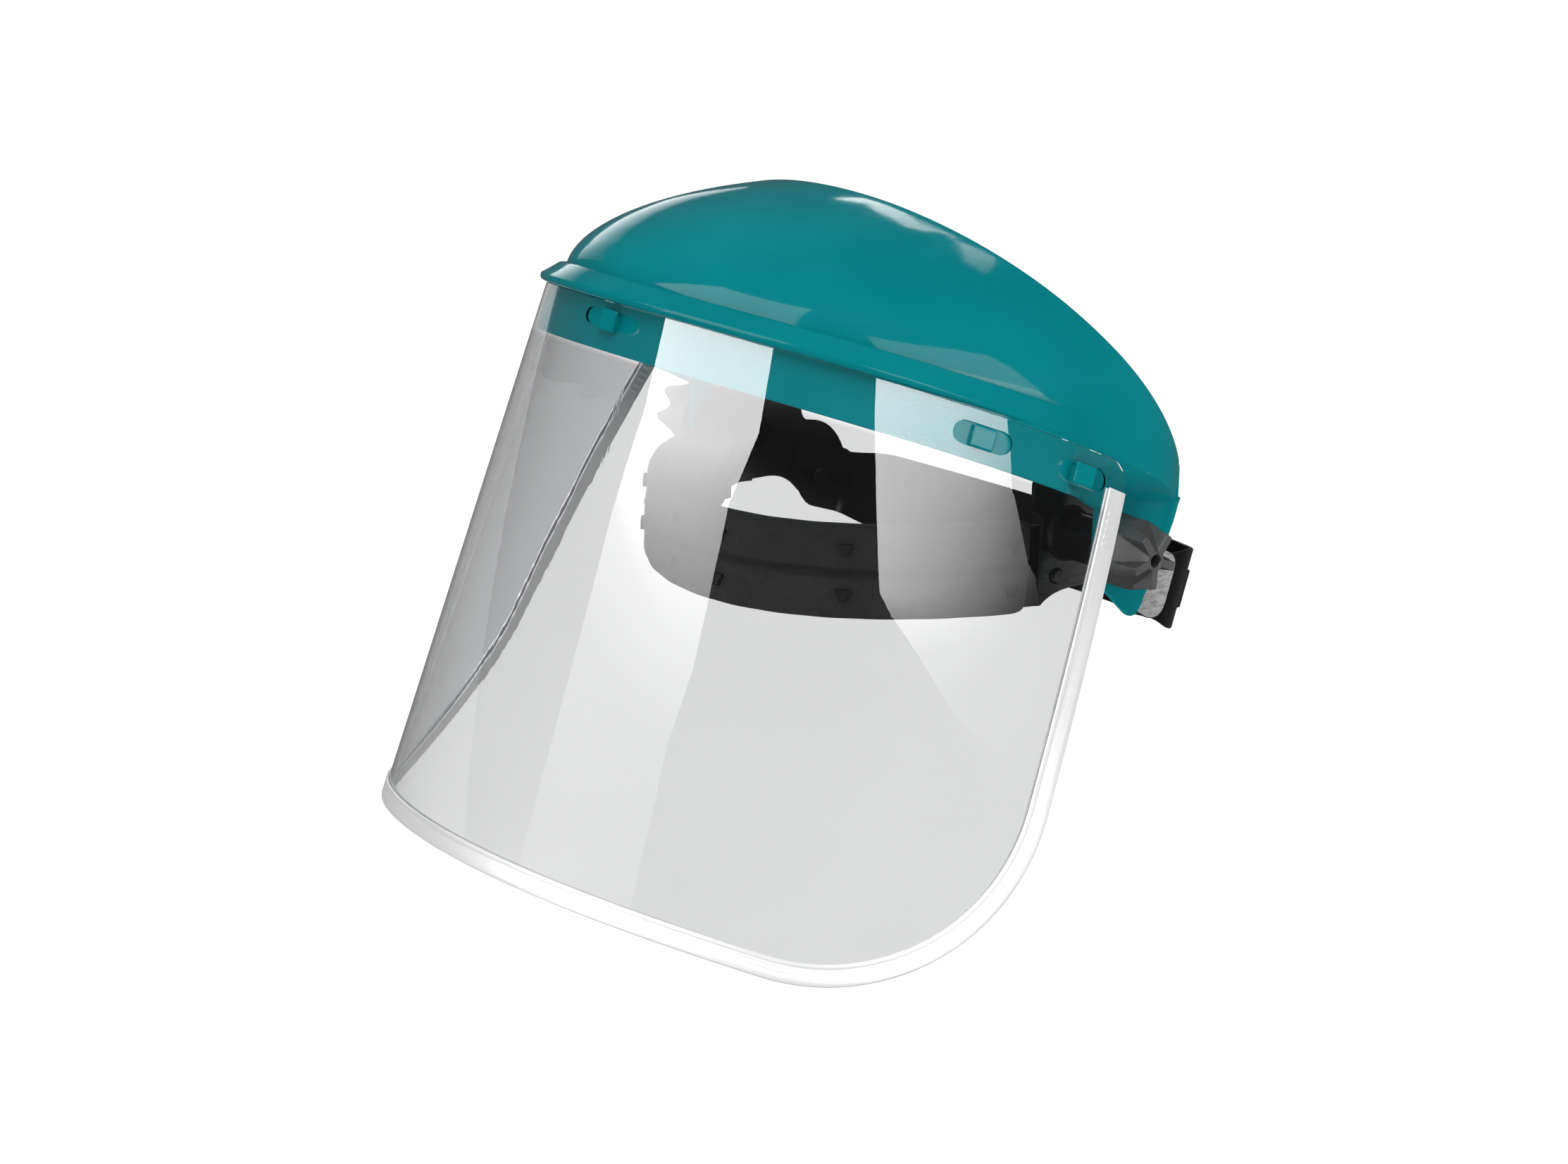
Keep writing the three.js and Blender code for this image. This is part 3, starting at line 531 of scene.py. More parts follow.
def binding_mesh():
    """A folded channel: two walls round the sheet's edge, a round fold, rolled lips and crimp marks."""
    inner, outer, depth = 0.8, 1.4, 7.0
    rings = []
    for (x, y), (dx, dy), raised in path_points(2.6):
        section = []
        for side in (1, -1):
            wall = [
                (depth - 0.15, inner), (depth, inner + 0.12), (depth, outer - 0.1),
                (depth - 0.25, outer + 0.12), (depth - 1.1, outer + 0.12), (depth - 1.6, outer),
                (5.2, outer), (4.9, outer + raised), (2.0, outer + raised), (1.7, outer), (0.4, outer),
            ]
            fold = [(-0.6 * math.sin(t), outer * math.cos(t)) for t in (0.5, 0.95, 1.35)]
            line = [(a, side * b) for a, b in wall + fold]
            section += line if side == 1 else line[::-1]
        section += [(0.1, -inner), (0.1, inner)]
        rings.append([on_cone(x - dy * inward, -(y + dx * inward), out) for inward, out in section])
    return mesh_data("visor_binding", *loft(rings))


# --- Browguard shell --------------------------------------------------------------------


def ear_outline():
    edge = [(-9.5, 12.4)]
    edge += bezier((-9.5, 12.4), (-9.4, -7), (-6, -12), 8)
    edge += [(-3, -14.6), (2, -18.9), (7, -23.2)]
    edge += bezier((7, -23.2), (12.5, -28.5), (15, -22.5), 10)
    edge += [(18, -15), (21, -7.5), (24, 0)]
    edge += bezier((24, 0), (27.6, 8), (28.2, 13.5), 6)
    return edge


EAR_EDGE = ear_outline()


def top_radius(turn):
    return CONE_RADIUS / math.cos(turn * math.sin(FLARE))


def top_height(turn):
    return CONE_Z - (top_radius(turn) - CONE_RADIUS) / math.tan(FLARE)


def dome_radius(turn):
    degrees = abs(turn) / DEGREE
    inset = DOME_INSET * (1 - smooth_step(degrees, 62, 90)) + 0.9
    drawn_in = 9.5 * ((degrees - 95) / 15.5) ** 1.7 if degrees > 95 else 0
    return top_radius(turn) - inset - drawn_in


def ear_turn(point):
    return math.atan2(EAR_X, CONE_Y - point[0])


def lower_edge(turn):
    size = abs(turn)
    if size <= ear_turn(EAR_EDGE[0]):
        slant = (APEX + BAND_HEIGHT) / math.cos(size * math.sin(FLARE))
        return CONE_Z - (slant - APEX) * math.cos(FLARE)
    for a, b in zip(EAR_EDGE, EAR_EDGE[1:]):
        low, high = ear_turn(a), ear_turn(b)
        if size <= high:
            return mix(a[1], b[1], (size - low) / (high - low))
    return EAR_EDGE[-1][1]


def lower_radius(turn, z):
    size = abs(turn)
    cone = CONE_RADIUS + (CONE_Z - z) * math.tan(FLARE) - 0.9
    foot = top_height(turn)
    lift = smooth_step(z, EAR_FLAT_TOP, max(foot, EAR_FLAT_TOP + 0.5))
    flare = (dome_radius(turn) * math.sin(size) - EAR_X) * lift
    ear = (EAR_X + flare) / max(math.sin(size), 0.2)
    return mix(cone, ear, smooth_step(size / DEGREE, 78, 89.5))


def dome_point(turn, rise, wall):
    foot = top_height(turn) + LIP_HEIGHT * 0.5
    radius = (dome_radius(turn) - wall) * math.cos(rise)
    return radius, foot + (DOME_TOP - wall - foot) * math.sin(rise)


def rim_rise(turn, wall):
    low, high = 0.0, math.pi / 2
    for _ in range(40):
        middle = (low + high) / 2
        radius, z = dome_point(turn, middle, wall)
        y = CONE_Y - radius * math.cos(turn)
        share = (RIM_REAR[0] - y) / (RIM_REAR[0] - RIM_FRONT[0])
        if z < mix(RIM_REAR[1], RIM_FRONT[1], share):
            low = middle
        else:
            high = middle
    return (low + high) / 2


def border(turn, z):
    """The raised strip along the rear edge of the ear."""
    if abs(turn) < 103 * DEGREE or z > 15:
        return 0.0
    y = CONE_Y - EAR_X / math.tan(abs(turn))
    near = min(
        math.hypot(y - mix(a[0], b[0], t), z - mix(a[1], b[1], t))
        for a, b in zip(EAR_EDGE[22:], EAR_EDGE[23:]) for t in (0, 0.5, 1)
    )
    return 0.8 * (1 - smooth_step(near, 2.6, 3.6)) * smooth_step(z, -21, -18)


# The front lip's rounded nose, as shares of its reach and height.
LIP_NOSE = ((0.7, -0.1), (0.9, 0.03), (0.99, 0.2), (1.0, 0.42), (0.97, 0.62), (0.86, 0.78), (0.62, 0.9))


def shell_section(turn):
    """The shell's section at this turn, as (radius, height), up the outside and down the inside."""
    degrees = abs(turn) / DEGREE
    low = lower_edge(turn)
    shoulder = max(top_height(turn) - LIP_DROP, low + 1.5)
    lip = 1 - smooth_step(degrees, 48, 78)
    lip_height = mix(1.2, LIP_HEIGHT, lip)
    bend = mix(low, shoulder, 0.5)
    if degrees > 84 and shoulder > EAR_FLAT_TOP + 1:
        bend = max(EAR_FLAT_TOP, low + 0.6)
    levels = [mix(low + 0.7, bend, i / 9) for i in range(10)]
    levels += [mix(bend, shoulder, i / 7) for i in range(1, 8)]

    def outer(z):
        return lower_radius(turn, z) + border(turn, z)

    def inner(z):
        return lower_radius(turn, z) - SHELL_WALL

    section = [(mix(inner(low), outer(low), 0.5), low)]
    section += [(outer(low) - 0.45, low + 0.1), (outer(low) - 0.1, low + 0.35)]
    section += [(outer(z), z) for z in levels]
    edge = lower_radius(turn, shoulder)
    reach = (LIP_DEPTH + 0.9) * lip
    base = shoulder + 0.3
    for out, up in LIP_NOSE:
        section.append((edge + reach * out, base + lip_height * 0.85 * up))
    top = base + lip_height
    outer_rim = max(rim_rise(turn, 0), 0.12)
    inner_rim = max(rim_rise(turn, SHELL_WALL), 0.1)
    for i in range(23):
        rise = mix(0.1, outer_rim, (i / 22) ** 1.15)
        radius, z = dome_point(turn, rise, 0)
        if i == 0:
            section.append((mix(radius, edge + reach * 0.5, 0.35), max(z, top) - 0.25))
        section.append((radius, max(z, top + i * 0.05)))
    a, b = section[-1], dome_point(turn, inner_rim, SHELL_WALL)
    section.append((mix(a[0], b[0], 0.3), mix(a[1], b[1], 0.3) + 0.35))
    section.append((mix(a[0], b[0], 0.7), mix(a[1], b[1], 0.7) + 0.3))
    for i in range(14, -1, -1):
        radius, z = dome_point(turn, mix(0.08, inner_rim, i / 14), SHELL_WALL)
        section.append((radius, max(z, shoulder + 0.6 + i * 0.05)))
    section += [(inner(z), z) for z in levels[::-2]]
    section.append((inner(low) + 0.45, low + 0.1))
    return section


def shell_mesh():
    ear_start = ear_turn(EAR_EDGE[0])
    turns = [ear_start * i / 74 for i in range(75)]
    turns += [ear_turn(p) for p in EAR_EDGE[1:] if ear_turn(p) > turns[-1] + 0.2 * DEGREE]
    turns = sorted(set(turns))
    fine = [turns[0]]
    for turn in turns[1:]:
        parts = max(1, math.ceil((turn - fine[-1]) / (1.2 * DEGREE)))
        start = fine[-1]
        fine += [mix(start, turn, (i + 1) / parts) for i in range(parts)]
    fine.append(SHELL_END)
    both = [-t for t in fine[:0:-1]] + fine
    rings = []
    for turn in both:
        rings.append([
            (radius * math.sin(turn), CONE_Y - radius * math.cos(turn), z)
            for radius, z in shell_section(turn)
        ])
    data = mesh_data("browguard", *loft(rings))
    bore = prism(circle(3.4, 32), along_x, -140, 140)
    return drilled(data, [bore])


def hook_part(across, down):
    """A hook for a visor slot: a post and a head that overhangs the sheet."""
    outline = [
        (-3.9, -4), (2.2, -4), (2.2, 0.9), (3.6, 0.9), (3.6, 1.1), (3.3, 1.6), (2.6, 1.75),
        (-3.3, 1.75), (-3.9, 1.2),
    ]
    rings = []
    for a in (-4.0, -3.7, 3.7, 4.0):
        tuck = 0.3 if abs(a) == 4.0 else 0.0
        rings.append([
            on_cone(across + a, down - b + math.copysign(tuck, b), out - (tuck if out > 0 else 0))
            for b, out in outline
        ])
    return loft(rings)


def boss_part():
    """The tube that bridges a side strap to the ear, with a rounded foot and a chamfered end."""
    foot = SIDE_X + STRAP
    profile = [
        (foot - 0.6, 3.4), (foot - 0.6, 10.2), (foot + 0.2, 10.0), (foot + 0.8, 9.1), (foot + 1.8, 8.55),
        (110.6, 8.5), (111.3, 7.8), (111.3, 3.4),
    ]
    rings = []
    for i in range(48):
        t = 2 * math.pi * i / 48
        rings.append([(x, r * math.cos(t), r * math.sin(t)) for x, r in profile])
    return loft(rings, closed=True)


# --- Head harness ---------------------------------------------------------------------------


def on_band(turn, out, z):
    across, ahead = FRONT_HALF_WIDTH * math.sin(turn), FRONT_DEPTH * math.cos(turn)
    nx, ny = across / FRONT_HALF_WIDTH ** 2, ahead / FRONT_DEPTH ** 2
    size = math.hypot(nx, ny)
    return (
        across + nx / size * out,
        FRONT_Y - ahead - ny / size * out,
        z - FRONT_DROP * math.cos(turn) ** 2,
    )


SEAM = (FRONT_LOW + FRONT_HIGH) / 2
BAND_END = math.acos((FRONT_Y + 14) / FRONT_DEPTH)


def sweatband_mesh():
    """A stuffed sleeve round the band, plump against the forehead, with a seam along its outside."""
    around, stations = 44, 120
    half_height, inner, outer = 16.6, -6.6, 2.3
    rings = []
    for i in range(stations + 1):
        turn = mix(-BAND_END, BAND_END, i / stations)
        close = 1 - 0.10 * smooth_step(abs(i / stations - 0.5), 0.485, 0.5)
        ring = []
        for j in range(around):
            t = 2 * math.pi * j / around
            up = math.copysign(abs(math.sin(t)) ** 0.62, math.sin(t)) * half_height * close
            side = math.cos(t)
            flat = math.copysign(abs(side) ** 0.45, side)
            out = flat * (outer if side > 0 else -inner) * close
            ring.append(on_band(turn, out, SEAM + up))
        rings.append(ring)
    data = mesh_data("sweatband", *loft(rings))
    data = puffed(data, around, stations)
    data = evaluated(data, ("SUBSURF", {"levels": 1, "render_levels": 1}))
    pinch(data)
    return data


def puffed(data, around, stations):
    """The sleeve filled by a short cloth simulation, held along its seam and at its ends."""
    obj = bpy.data.objects.new("sleeve", data)
    scene.collection.objects.link(obj)
    held = obj.vertex_groups.new(name="held")
    for i in range(stations + 1):
        for j in range(around):
            seam = j in (0, 1, around - 1)
            top = abs(j - around // 4) <= 1 or abs(j - 3 * around // 4) <= 1
            weight = 1.0 if seam or i in (0, stations) else 0.35 if top else 0.06
            held.add([i * around + j], weight, "REPLACE")
    rest = [v.co.copy() for v in data.vertices]
    cloth = obj.modifiers.new("cloth", "CLOTH")
    cloth.settings.quality = 6
    cloth.settings.mass = 0.25
    cloth.settings.tension_stiffness = 12
    cloth.settings.bending_stiffness = 1.2
    cloth.settings.use_pressure = True
    cloth.settings.uniform_pressure_force = 4
    cloth.settings.vertex_group_mass = "held"
    cloth.settings.effector_weights.gravity = 0
    cloth.point_cache.frame_start, cloth.point_cache.frame_end = 1, 20
    for step in range(1, 21):
        scene.frame_set(step)
    result = bpy.data.meshes.new_from_object(obj.evaluated_get(bpy.context.evaluated_depsgraph_get()))
    most = 1.1 * MM
    for vertex, start in zip(result.vertices, rest):
        move = vertex.co - start
        if move.length > most:
            vertex.co = start + move * (most / move.length)
    scene.frame_set(1)
    bpy.data.objects.remove(obj)
    return result


def band_place(co):
    """Turn and height on the band of a point in metres."""
    x, y, z = (c / MM for c in co)
    turn = math.atan2(x / FRONT_HALF_WIDTH, (FRONT_Y - y) / FRONT_DEPTH)
    return turn, z + FRONT_DROP * math.cos(turn) ** 2


def pinch(data):
    """Draws in the seam on the outside, puckers the cloth along it and adds slight ripples all over."""
    groove_shade_weights = []
    for vertex in data.vertices:
        turn, z = band_place(vertex.co)
        middle = Vector(on_band(turn, 0, 0))
        x, y = vertex.co.x / MM, vertex.co.y / MM
        outward = Vector((math.sin(turn), -math.cos(turn), 0))
        out = (x - middle.x) * outward.x + (y - middle.y) * outward.y
        ripple = 0.22 * math.sin(turn * 31 + 0.8 * math.sin(z * 0.4)) * math.sin((z - SEAM) * 0.33)
        move = ripple
        groove = 0.0
        if out > 0:
            wander = 0.7 * math.sin(turn * 5.3 + 0.6)
            groove = math.exp(-(((z - SEAM - wander) / 1.5) ** 2))
            lips = math.exp(-(((abs(z - SEAM - wander) - 2.5) / 1.2) ** 2))
            move += -1.8 * groove + (0.5 + 0.15 * math.sin(turn * 60)) * lips
        vertex.co += outward * move * MM
        groove_shade_weights.append(groove)
    # The groove's depth is kept as the seam attribute, which paints shade into the cloth's colour.
    data.attributes.new("seam", "FLOAT", "POINT").data.foreach_set("value", groove_shade_weights)


def tee_tabs():
    """Small black tabs of the band that come through the sleeve in pairs, above and below its seam."""
    half_tee = [(2.6, 2.2), (2.6, 0.6), (1.5, 0.4), (1.2, -2.0)]
    tee = [(-a, b) for a, b in half_tee] + half_tee[::-1]
    parts = []
    for turn in (-75, -39, -8.5, 8.5, 39, 75):
        for sign in (1, -1):
            height = SEAM + sign * 8.0

            def place(a, b, depth, turn=turn * DEGREE, height=height, sign=sign):
                return on_band(turn + a / 91, depth, height + b)

            parts.append(prism(tee, place, 1.0, 3.75))
    return mesh_data("sweatband_tabs", *merge(*parts))


def tilted(along, up):
    return (
        along * math.cos(NAPE_TILT) + up * math.sin(NAPE_TILT),
        -along * math.sin(NAPE_TILT) + up * math.cos(NAPE_TILT),
    )


def side_strap_outline():
    half = 7.5
    shape = [(-12.5, -25), (-12.5, 7), (-17, 8.8), (-17.5, 18.5)]
    shape += bezier((-17.5, 18.5), (-17.4, 20.4), (-15, 19.8), 6)
    shape += [(CROWN_Y - half, 12)]
    shape += [(CROWN_Y - half + 0.4, 18), (CROWN_Y + half + 0.4, 18), (CROWN_Y + half, 6)]
    shape += bezier((CROWN_Y + half, 6), (27, 1), (32, 1), 6)
    shape += bezier((32, 1), (43, 0.5), tilted(50.2, 1.8), 8)
    shape += bezier(tilted(50.5, 1.8), tilted(57, 1.8), tilted(57, -5), 6)
    shape += [tilted(57, -16)]
    shape += bezier(tilted(57, -16), tilted(57, -23.2), tilted(50, -23.2), 6)
    shape += bezier(tilted(50, -23.2), (36, -33), (27, -26), 10)
    shape += bezier((27, -26), (21, -19.5), (12, -19.5), 8)
    shape += bezier((4, -19.8), (-6, -20.5), (-10.5, -25), 8)
    return shape


def crown_part(height):
    """Half of the crown strap: a flat strip with soft edges, over the head and past the middle."""
    half, thick, middle = 7.5, 0.7, SIDE_X + STRAP / 2
    soft = 0.35
    corners = [
        (-half, -thick + soft), (-half + soft, -thick), (half - soft, -thick), (half, -thick + soft),
        (half, thick - soft), (half - soft, thick), (-half + soft, thick), (-half, thick - soft),
    ]
    rings = []
    for i in range(49):
        turn = 106 * DEGREE * i / 48
        rise = height - CROWN_Z
        x, z = middle * math.cos(turn), CROWN_Z + rise * math.sin(turn)
        nx, nz = math.cos(turn) / middle, math.sin(turn) / rise
        size = math.hypot(nx, nz)
        y = CROWN_Y + 0.1 * (z - CROWN_Z)
        rings.append([(x + nx / size * out, y + across, z + nz / size * out) for across, out in corners])
    return loft(rings)


def side_strap_mesh(height, side):
    plate = prism(side_strap_outline(), along_x, SIDE_X, SIDE_X + STRAP)
    bores = [
        prism(circle(3.4, 24), along_x, 80, 100),
        prism(circle(2.3, 20, *tilted(40, -10.7)), along_x, 80, 100),
        prism(circle(1.8, 16, -4, -15), along_x, 80, 100),
    ]
    plate_data = bevelled(drilled(mesh_data("plate", *plate), bores), 0.3)
    y = CROWN_Y + 0.1 * (CROWN_TOP - CROWN_Z)
    holes = [
        prism(circle(2.2, 20, x, y), lambda a, b, d: (a, b, d), CROWN_TOP - 12, CROWN_TOP + 10)
        for x in (-16, -8, 0, 8, 16)
    ]
    crown_data = drilled(mesh_data("crown", *crown_part(height)), holes)
    bm = bmesh.new()
    bm.from_mesh(plate_data)
    bm.from_mesh(crown_data)
    bm.from_mesh(mesh_data("boss", *boss_part()))
    if side < 0:
        bmesh.ops.scale(bm, vec=(-1, 1, 1), verts=bm.verts)
        bmesh.ops.reverse_faces(bm, faces=bm.faces)
    data = bpy.data.meshes.new("side_strap")
    bm.to_mesh(data)
    bm.free()
    return data


def nape_mesh():
    """Two slotted arms and a taller rear arc with a raised rib along its outside."""
    middle, half = NAPE_X + STRAP / 2, STRAP / 2
    arm_end, rear = 52, 104
    ends = (26, 26.4, 28, 30, 32, 34, 36, 38, 40, 42, 47)
    stations = [(middle, a, 1.0, 0.0, 0.0) for a in ends]
    for i in range(73):
        turn = math.pi * i / 72
        nx, ny = math.cos(turn) / middle, math.sin(turn) / (rear - arm_end)
        size = math.hypot(nx, ny)
        stations.append((
            middle * math.cos(turn), arm_end + (rear - arm_end) * math.sin(turn),
            nx / size, ny / size, min(turn, math.pi - turn),
        ))
    stations += [(-middle, a, -1.0, 0.0, 0.0) for a in ends[::-1]]
    rings = []
    for index, (x, along, nx, ny, turn) in enumerate(stations):
        end = index in (0, len(stations) - 1)
        tall = 12 + 3 * smooth_step(turn, 0.0, 0.4) - (0.5 if end else 0)
        low = -tall + 8 * (1 - smooth_step(along, 26, 41))
        rib = 0.9 * smooth_step(turn, 0.42, 0.5)
        section = [
            (-half + 0.3, low), (half - 0.3, low), (half, low + 0.3), (half, max(low + 0.6, -7.2)),
            (half + rib, max(low + 0.9, -6.8)), (half + rib, 6.8), (half, 7.2), (half, tall - 0.3),
            (half - 0.3, tall), (-half + 0.3, tall), (-half, tall - 0.3), (-half, low + 0.3),
        ]
        ring = []
        for out, up in section:
            y, z = tilted(along + ny * out, NAPE_MIDDLE + up)
            ring.append((x + nx * out, y, z))
        rings.append(ring)
    slots = []
    for side in (1, -1):
        outline = [tilted(43 + a, -10.7 + b) for a, b in stadium(26.6, 4.6)]
        slots.append(prism(outline, along_x, side * middle - 6, side * middle + 6))
    return drilled(mesh_data("nape_strap", *loft(rings)), slots)


# --- Knobs ----------------------------------------------------------------------------------


def knob_radius(angle, share):
    """A round base that turns into five thin arms with sloping hollows between them."""
    sector = 2 * math.pi / 5
    away = (angle + math.pi / 2) % sector
    away = min(away, sector - away)
    cut = max(0.0, (share - 0.38) / 0.62)
    arm_reach = 12.2 - 2.2 * smooth_step(share, 0.36, 1.0)
    arm_half = mix(2.8, 1.45, cut)
    valley = mix(12.4, 3.9, cut) * math.cos(sector / 2 * 0.4) / math.cos((sector / 2 - away) * 0.9)
    arm = arm_half / max(math.sin(away), 1e-3)
    return min(arm_reach, max(arm, valley))


def knob_part():
    flange, face = KNOB_FLANGE_X, KNOB_FACE_X
    segments = 200
    start = flange + 2.9
    profile = [(flange, 5.4, None), (flange, 11.9, None)]
    profile += [(flange + 0.4, 12.3, None), (flange + 1.9, 12.3, None), (flange + 2.4, 12.0, None)]
    profile += [(mix(start, face, i / 16), None, i / 16) for i in range(17)]
    rings = []
    for i in range(segments):
        angle = 2 * math.pi * i / segments
        line = []
        for x, radius, share in profile:
            line.append((x, knob_radius(angle, share) if radius is None else radius))
        x, radius = line[-1]
        line[-1] = (x - 0.35, radius)
        line.append((x - 0.08, radius - 0.25))
        line.append((x, radius - 0.55))
        line += [(x, 2.5), (x - 0.3, 2.2)]
        line += [(flange + 14, 2.2), (flange + 14, 4.85), (flange + 2.3, 4.85), (flange + 2.3, 5.4)]
        rings.append([(px, r * math.cos(angle), r * math.sin(angle)) for px, r in line])
    return loft(rings, closed=True)


# --- Pieces on the frame ----------------------------------------------------------------------

shell = piece("browguard", shell_mesh(), "browguard", SHELL, 40)
hook_data = mesh_data("browguard_hooks", *merge(*[hook_part(p, q) for p, q, _ in SLOTS]))
piece("browguard_hooks", hook_data, "browguard", SHELL)
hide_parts("browguard_shell")

visor = piece("visor_sheet", visor_mesh(), "browguard", CLEAR, 25)
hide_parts("visor")

binding = piece("binding", binding_mesh(), "browguard", ALUMINIUM, 40)
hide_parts("visor_binding")

pad = piece("sweatband_pad", sweatband_mesh(), "headgear", CLOTH, 80)
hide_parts("sweatband")
piece("sweatband_tabs", tee_tabs(), "headgear", STRAP_LOOK)

for label, side, height in (("left", 1, CROWN_TOP + 1), ("right", -1, CROWN_TOP - 1)):
    strap_data = side_strap_mesh(height, side)
    strap = piece("harness_side_" + label, strap_data, "headgear", STRAP_LOOK)
    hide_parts("side_strap_" + label)
    part = knob_part() if side > 0 else mirrored(knob_part())
    knob = piece("knob_" + label, mesh_data("knob", *part), label + "_knob", KNOB, 28)
    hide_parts("pivot_knob_" + label)

nape = piece("harness_nape", nape_mesh(), "nape", STRAP_LOOK)
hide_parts("nape_strap")

KEPT = {
    "front_band": STRAP_LOOK, "crown_peg": STRAP_LOOK, "size_peg": STRAP_LOOK, "strap_rivet": STRAP_LOOK,
    "pivot_bolt": STEEL, "friction_washer": WASHER, "threaded_insert": STEEL,
}
for name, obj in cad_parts.items():
    for key, look in KEPT.items():
        if name.startswith(key):
            obj.data.materials.clear()
            obj.data.materials.append(look)
            obj.data.shade_smooth()
            obj.data.set_sharp_from_angle(angle=35 * DEGREE)

# --- Floor, light and camera --------------------------------------------------------------------

# How bright the pale studio is for its own light and in reflections.
LIGHT_LEVEL, REFLECTED_LEVEL = 0.85, 0.07
floor_look = Look("floor_pale", Roughness=0.9, Specular_IOR_Level=0.0)
pale = floor_look.ramp(floor_look.noise(floor_look.place(), 3), (0.88, 0.88, 0.88), (0.9, 0.9, 0.9))
rays = floor_look.node("ShaderNodeLightPath").outputs
in_gloss = floor_look.math("SUBTRACT", rays["Is Glossy Ray"], rays["Is Transmission Ray"])
floor_look.drive("Base Color", floor_look.fade(pale, (REFLECTED_LEVEL,) * 3, in_gloss))
bpy.ops.mesh.primitive_plane_add(size=24, location=(0, 0, -0.42))
floor = bpy.context.object
floor.name = "floor"
floor.data.materials.append(floor_look.material)

world = bpy.data.worlds.new("studio")
world.use_nodes = True
scene.world = world
background = world.node_tree.nodes["Background"]
background.inputs["Color"].default_value = (1, 1, 1, 1)
path = world.node_tree.nodes.new("ShaderNodeLightPath")
level = LIGHT_LEVEL
for ray, strength in (("Is Glossy Ray", REFLECTED_LEVEL), ("Is Camera Ray", 1.0)):
    pick = world.node_tree.nodes.new("ShaderNodeMix")
    pick.inputs["B"].default_value = strength
    world.node_tree.links.new(path.outputs[ray], pick.inputs["Factor"])
    if isinstance(level, float):
        pick.inputs["A"].default_value = level
    else:
        world.node_tree.links.new(level, pick.inputs["A"])
    level = pick.outputs["Result"]
world.node_tree.links.new(level, background.inputs["Strength"])


def softbox(name, azimuth, elevation, distance, width, height, power):
    """An area light that faces the object, seen neither by the camera nor in gloss."""
    light = bpy.data.lights.new(name, "AREA")
    light.shape = "RECTANGLE"
    light.size, light.size_y = width, height
    light.energy = power
    obj = bpy.data.objects.new(name, light)
    scene.collection.objects.link(obj)
    spot = towards(azimuth, elevation, distance)
    obj.location = spot
    obj.rotation_euler = spot.to_track_quat("Z", "Y").to_euler()
    obj.visible_camera = False
    obj.visible_glossy = False
    obj.visible_transmission = False


def towards(azimuth, elevation, distance):
    """A point seen from the origin. Azimuth 0 is in front of the wearer and 90 is on the wearer's left."""
    az, el = azimuth * DEGREE, elevation * DEGREE
    return Vector((math.sin(az) * math.cos(el), -math.cos(az) * math.cos(el), math.sin(el))) * distance


def reflection_card(name, distance, rows, around=(0, 0, 0)):
    """A bright studio card seen only in gloss, at a distance from a point in millimetres.

    Each row holds its left and right end, as (azimuth, elevation), and how bright each end is.
    """
    steps = 8
    points, faces, levels = [], [], []
    for left, right, start, end in rows:
        for k in range(steps + 1):
            share = k / steps
            spot = towards(mix(left[0], right[0], share), mix(left[1], right[1], share), distance)
            points.append(spot + Vector(around) * MM)
            levels.append(mix(start, end, share))
    for i in range(len(rows) - 1):
        for k in range(steps):
            a = i * (steps + 1) + k
            faces.append((a, a + 1, a + steps + 2, a + steps + 1))
    data = bpy.data.meshes.new(name)
    data.from_pydata(points, [], faces)
    data.attributes.new("level", "FLOAT", "POINT").data.foreach_set("value", levels)
    material = bpy.data.materials.new(name)
    material.use_nodes = True
    tree = material.node_tree
    tree.nodes.clear()
    level = tree.nodes.new("ShaderNodeAttribute")
    level.attribute_name = "level"
    glow = tree.nodes.new("ShaderNodeEmission")
    output = tree.nodes.new("ShaderNodeOutputMaterial")
    tree.links.new(level.outputs["Fac"], glow.inputs["Strength"])
    tree.links.new(glow.outputs[0], output.inputs["Surface"])
    data.materials.append(material)
    obj = bpy.data.objects.new(name, data)
    scene.collection.objects.link(obj)
    for ray in ("camera", "diffuse", "transmission", "shadow", "volume_scatter"):
        setattr(obj, "visible_" + ray, False)


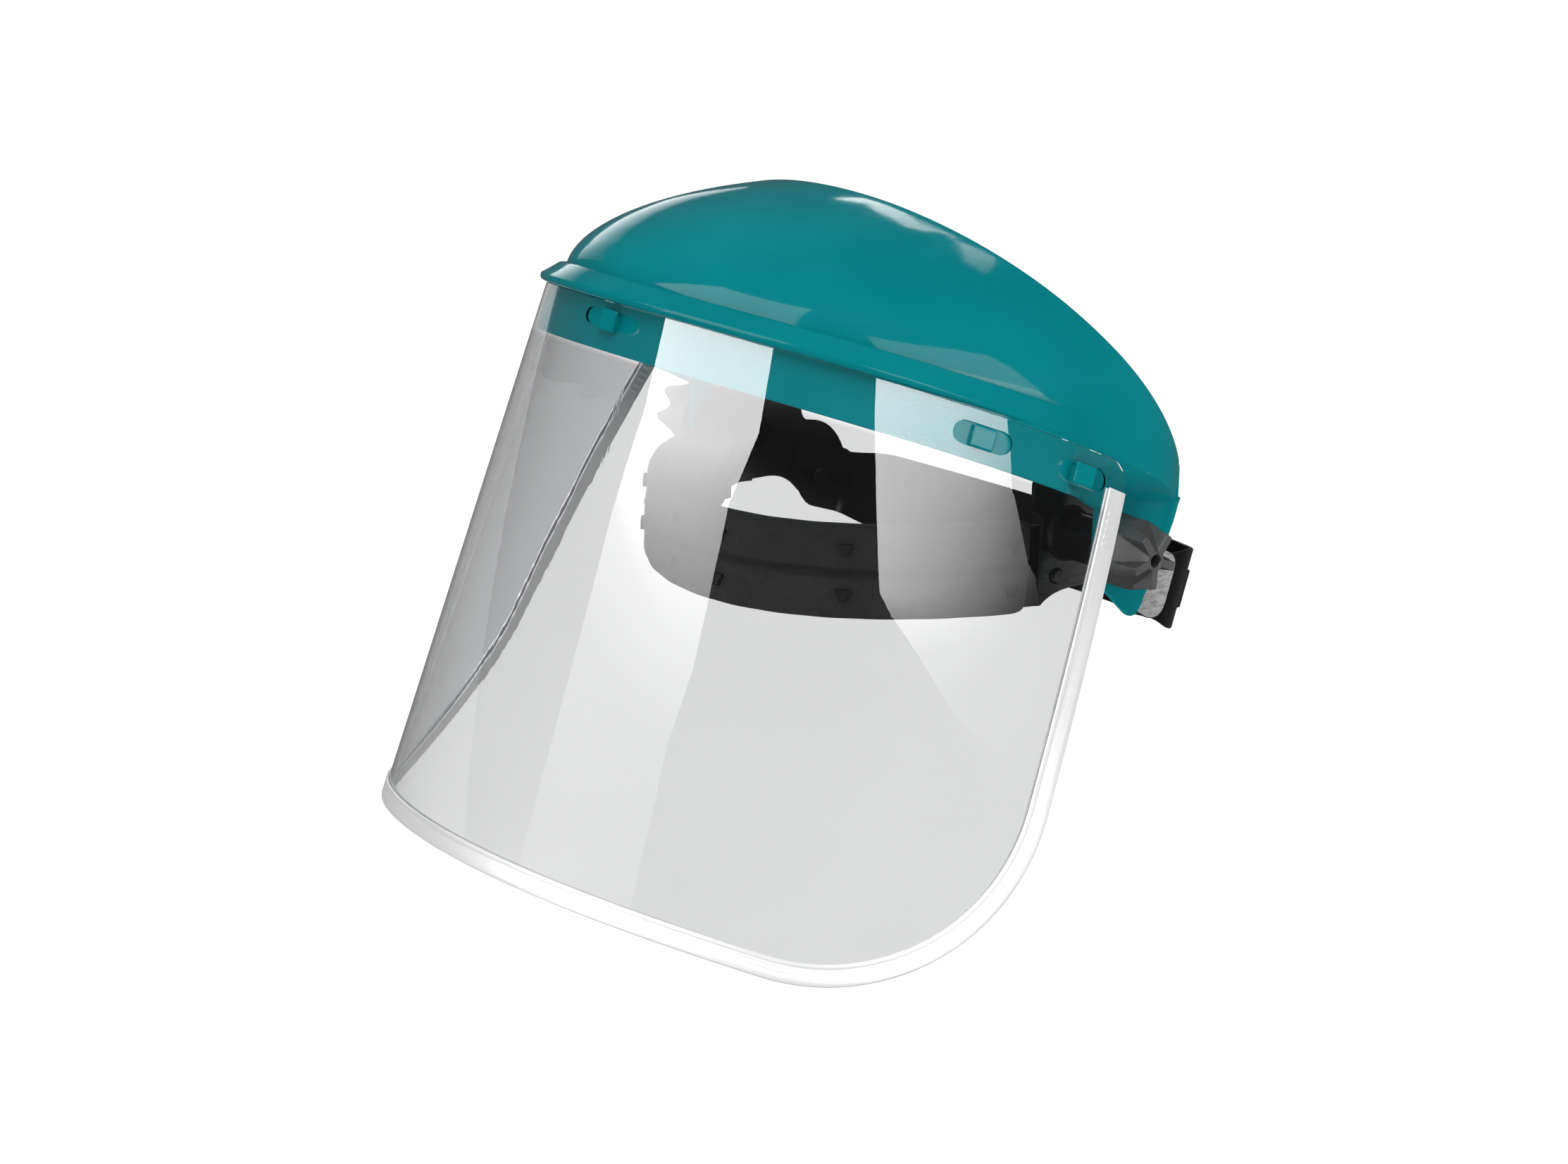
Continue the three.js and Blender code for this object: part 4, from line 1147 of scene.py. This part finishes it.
sun = bpy.data.lights.new("key", "SUN")
sun.energy = 1.1
sun.angle = 40 * DEGREE
key = bpy.data.objects.new("key", sun)
scene.collection.objects.link(key)
key.rotation_euler = towards(60, 58, 1).to_track_quat("Z", "Y").to_euler()
key.visible_glossy = False
softbox("top", 20, 70, 2.2, 1.4, 0.8, 8)
reflection_card("card_front", 4, (
    ((-33, 0), (-3, 0), 0.5, 0.4),
    ((-31, 6), (2, 9), 2, 1.6),
    ((-30, 9), (5.5, 11), 5, 4),
    ((-28.5, 10.5), (8, 14.5), 13, 10),
    ((-27, 11.5), (14, 16.5), 17, 16),
    ((-27, 17), (15, 19), 16, 15),
))
reflection_card("card_side", 4, (
    ((88, 10), (101.5, 10.5), 0.3, 0.2),
    ((75, 12), (100.5, 12), 0.8, 0.4),
    ((66, 13.5), (100, 12.5), 2.5, 1),
    ((58, 14.5), (98, 13), 6, 2),
    ((54.5, 15), (96, 14), 10, 3),
    ((52.5, 16.5), (94, 15), 12.5, 5),
    ((50, 18.5), (93.5, 16), 14, 9),
    ((49.5, 20), (93, 19), 15, 12),
    ((49.5, 21), (93, 20), 5, 5),
    ((49, 40), (93, 46), 5, 5),
))
reflection_card("card_foot", 4, (
    ((-45, 26), (20, 24), 6, 6),
    ((-36, 56), (20, 64), 6, 6),
))
reflection_card("card_crown", 4, (
    ((-101, 3), (-83, 20), 0.5, 0.2),
    ((-108, 9), (-104, 23), 2.4, 0.2),
    ((-115, 8), (-114, 18), 2.4, 0.3),
    ((-121, 4), (-119, 13), 2, 0.4),
    ((-123, 2), (-122, 10), 1.8, 0.5),
    ((-125, 7), (-125, 8), 1.4, 1),
))
reflection_card("card_rim", 4, (
    ((-128, 21), (-128, 22), 4, 4),
    ((-130, 21), (-130, 25), 4, 4),
    ((-132, 25), (-131, 29), 4, 4),
    ((-134, 30), (-135, 36), 4, 4),
    ((-137, 35), (-140, 38), 4, 4),
    ((-141, 40), (-148, 49), 4, 3),
    ((-149, 43), (-156, 53), 3, 1),
))
reflection_card("card_nape", 0.34, (
    ((133, -20), (138, -20), 18, 18),
    ((133, -8), (138, -8), 18, 18),
), around=(90, 49, -25.5))

camera_data = bpy.data.cameras.new("camera")
camera_data.lens = 84.15
camera_data.sensor_width = 36
camera_data.clip_end = 60
camera = bpy.data.objects.new("camera", camera_data)
scene.collection.objects.link(camera)
right = Vector((0.619, 0.783, 0.058))
up = Vector((-0.228, 0.109, 0.967))
back = Vector((0.751, -0.612, 0.246))
turned = Matrix((right, up, back)).transposed()
camera.matrix_world = Matrix.Translation(Vector((988.5, -856.3, 290.4)) * MM) @ turned.to_4x4()
scene.camera = camera
scene.view_settings.view_transform = "Standard"
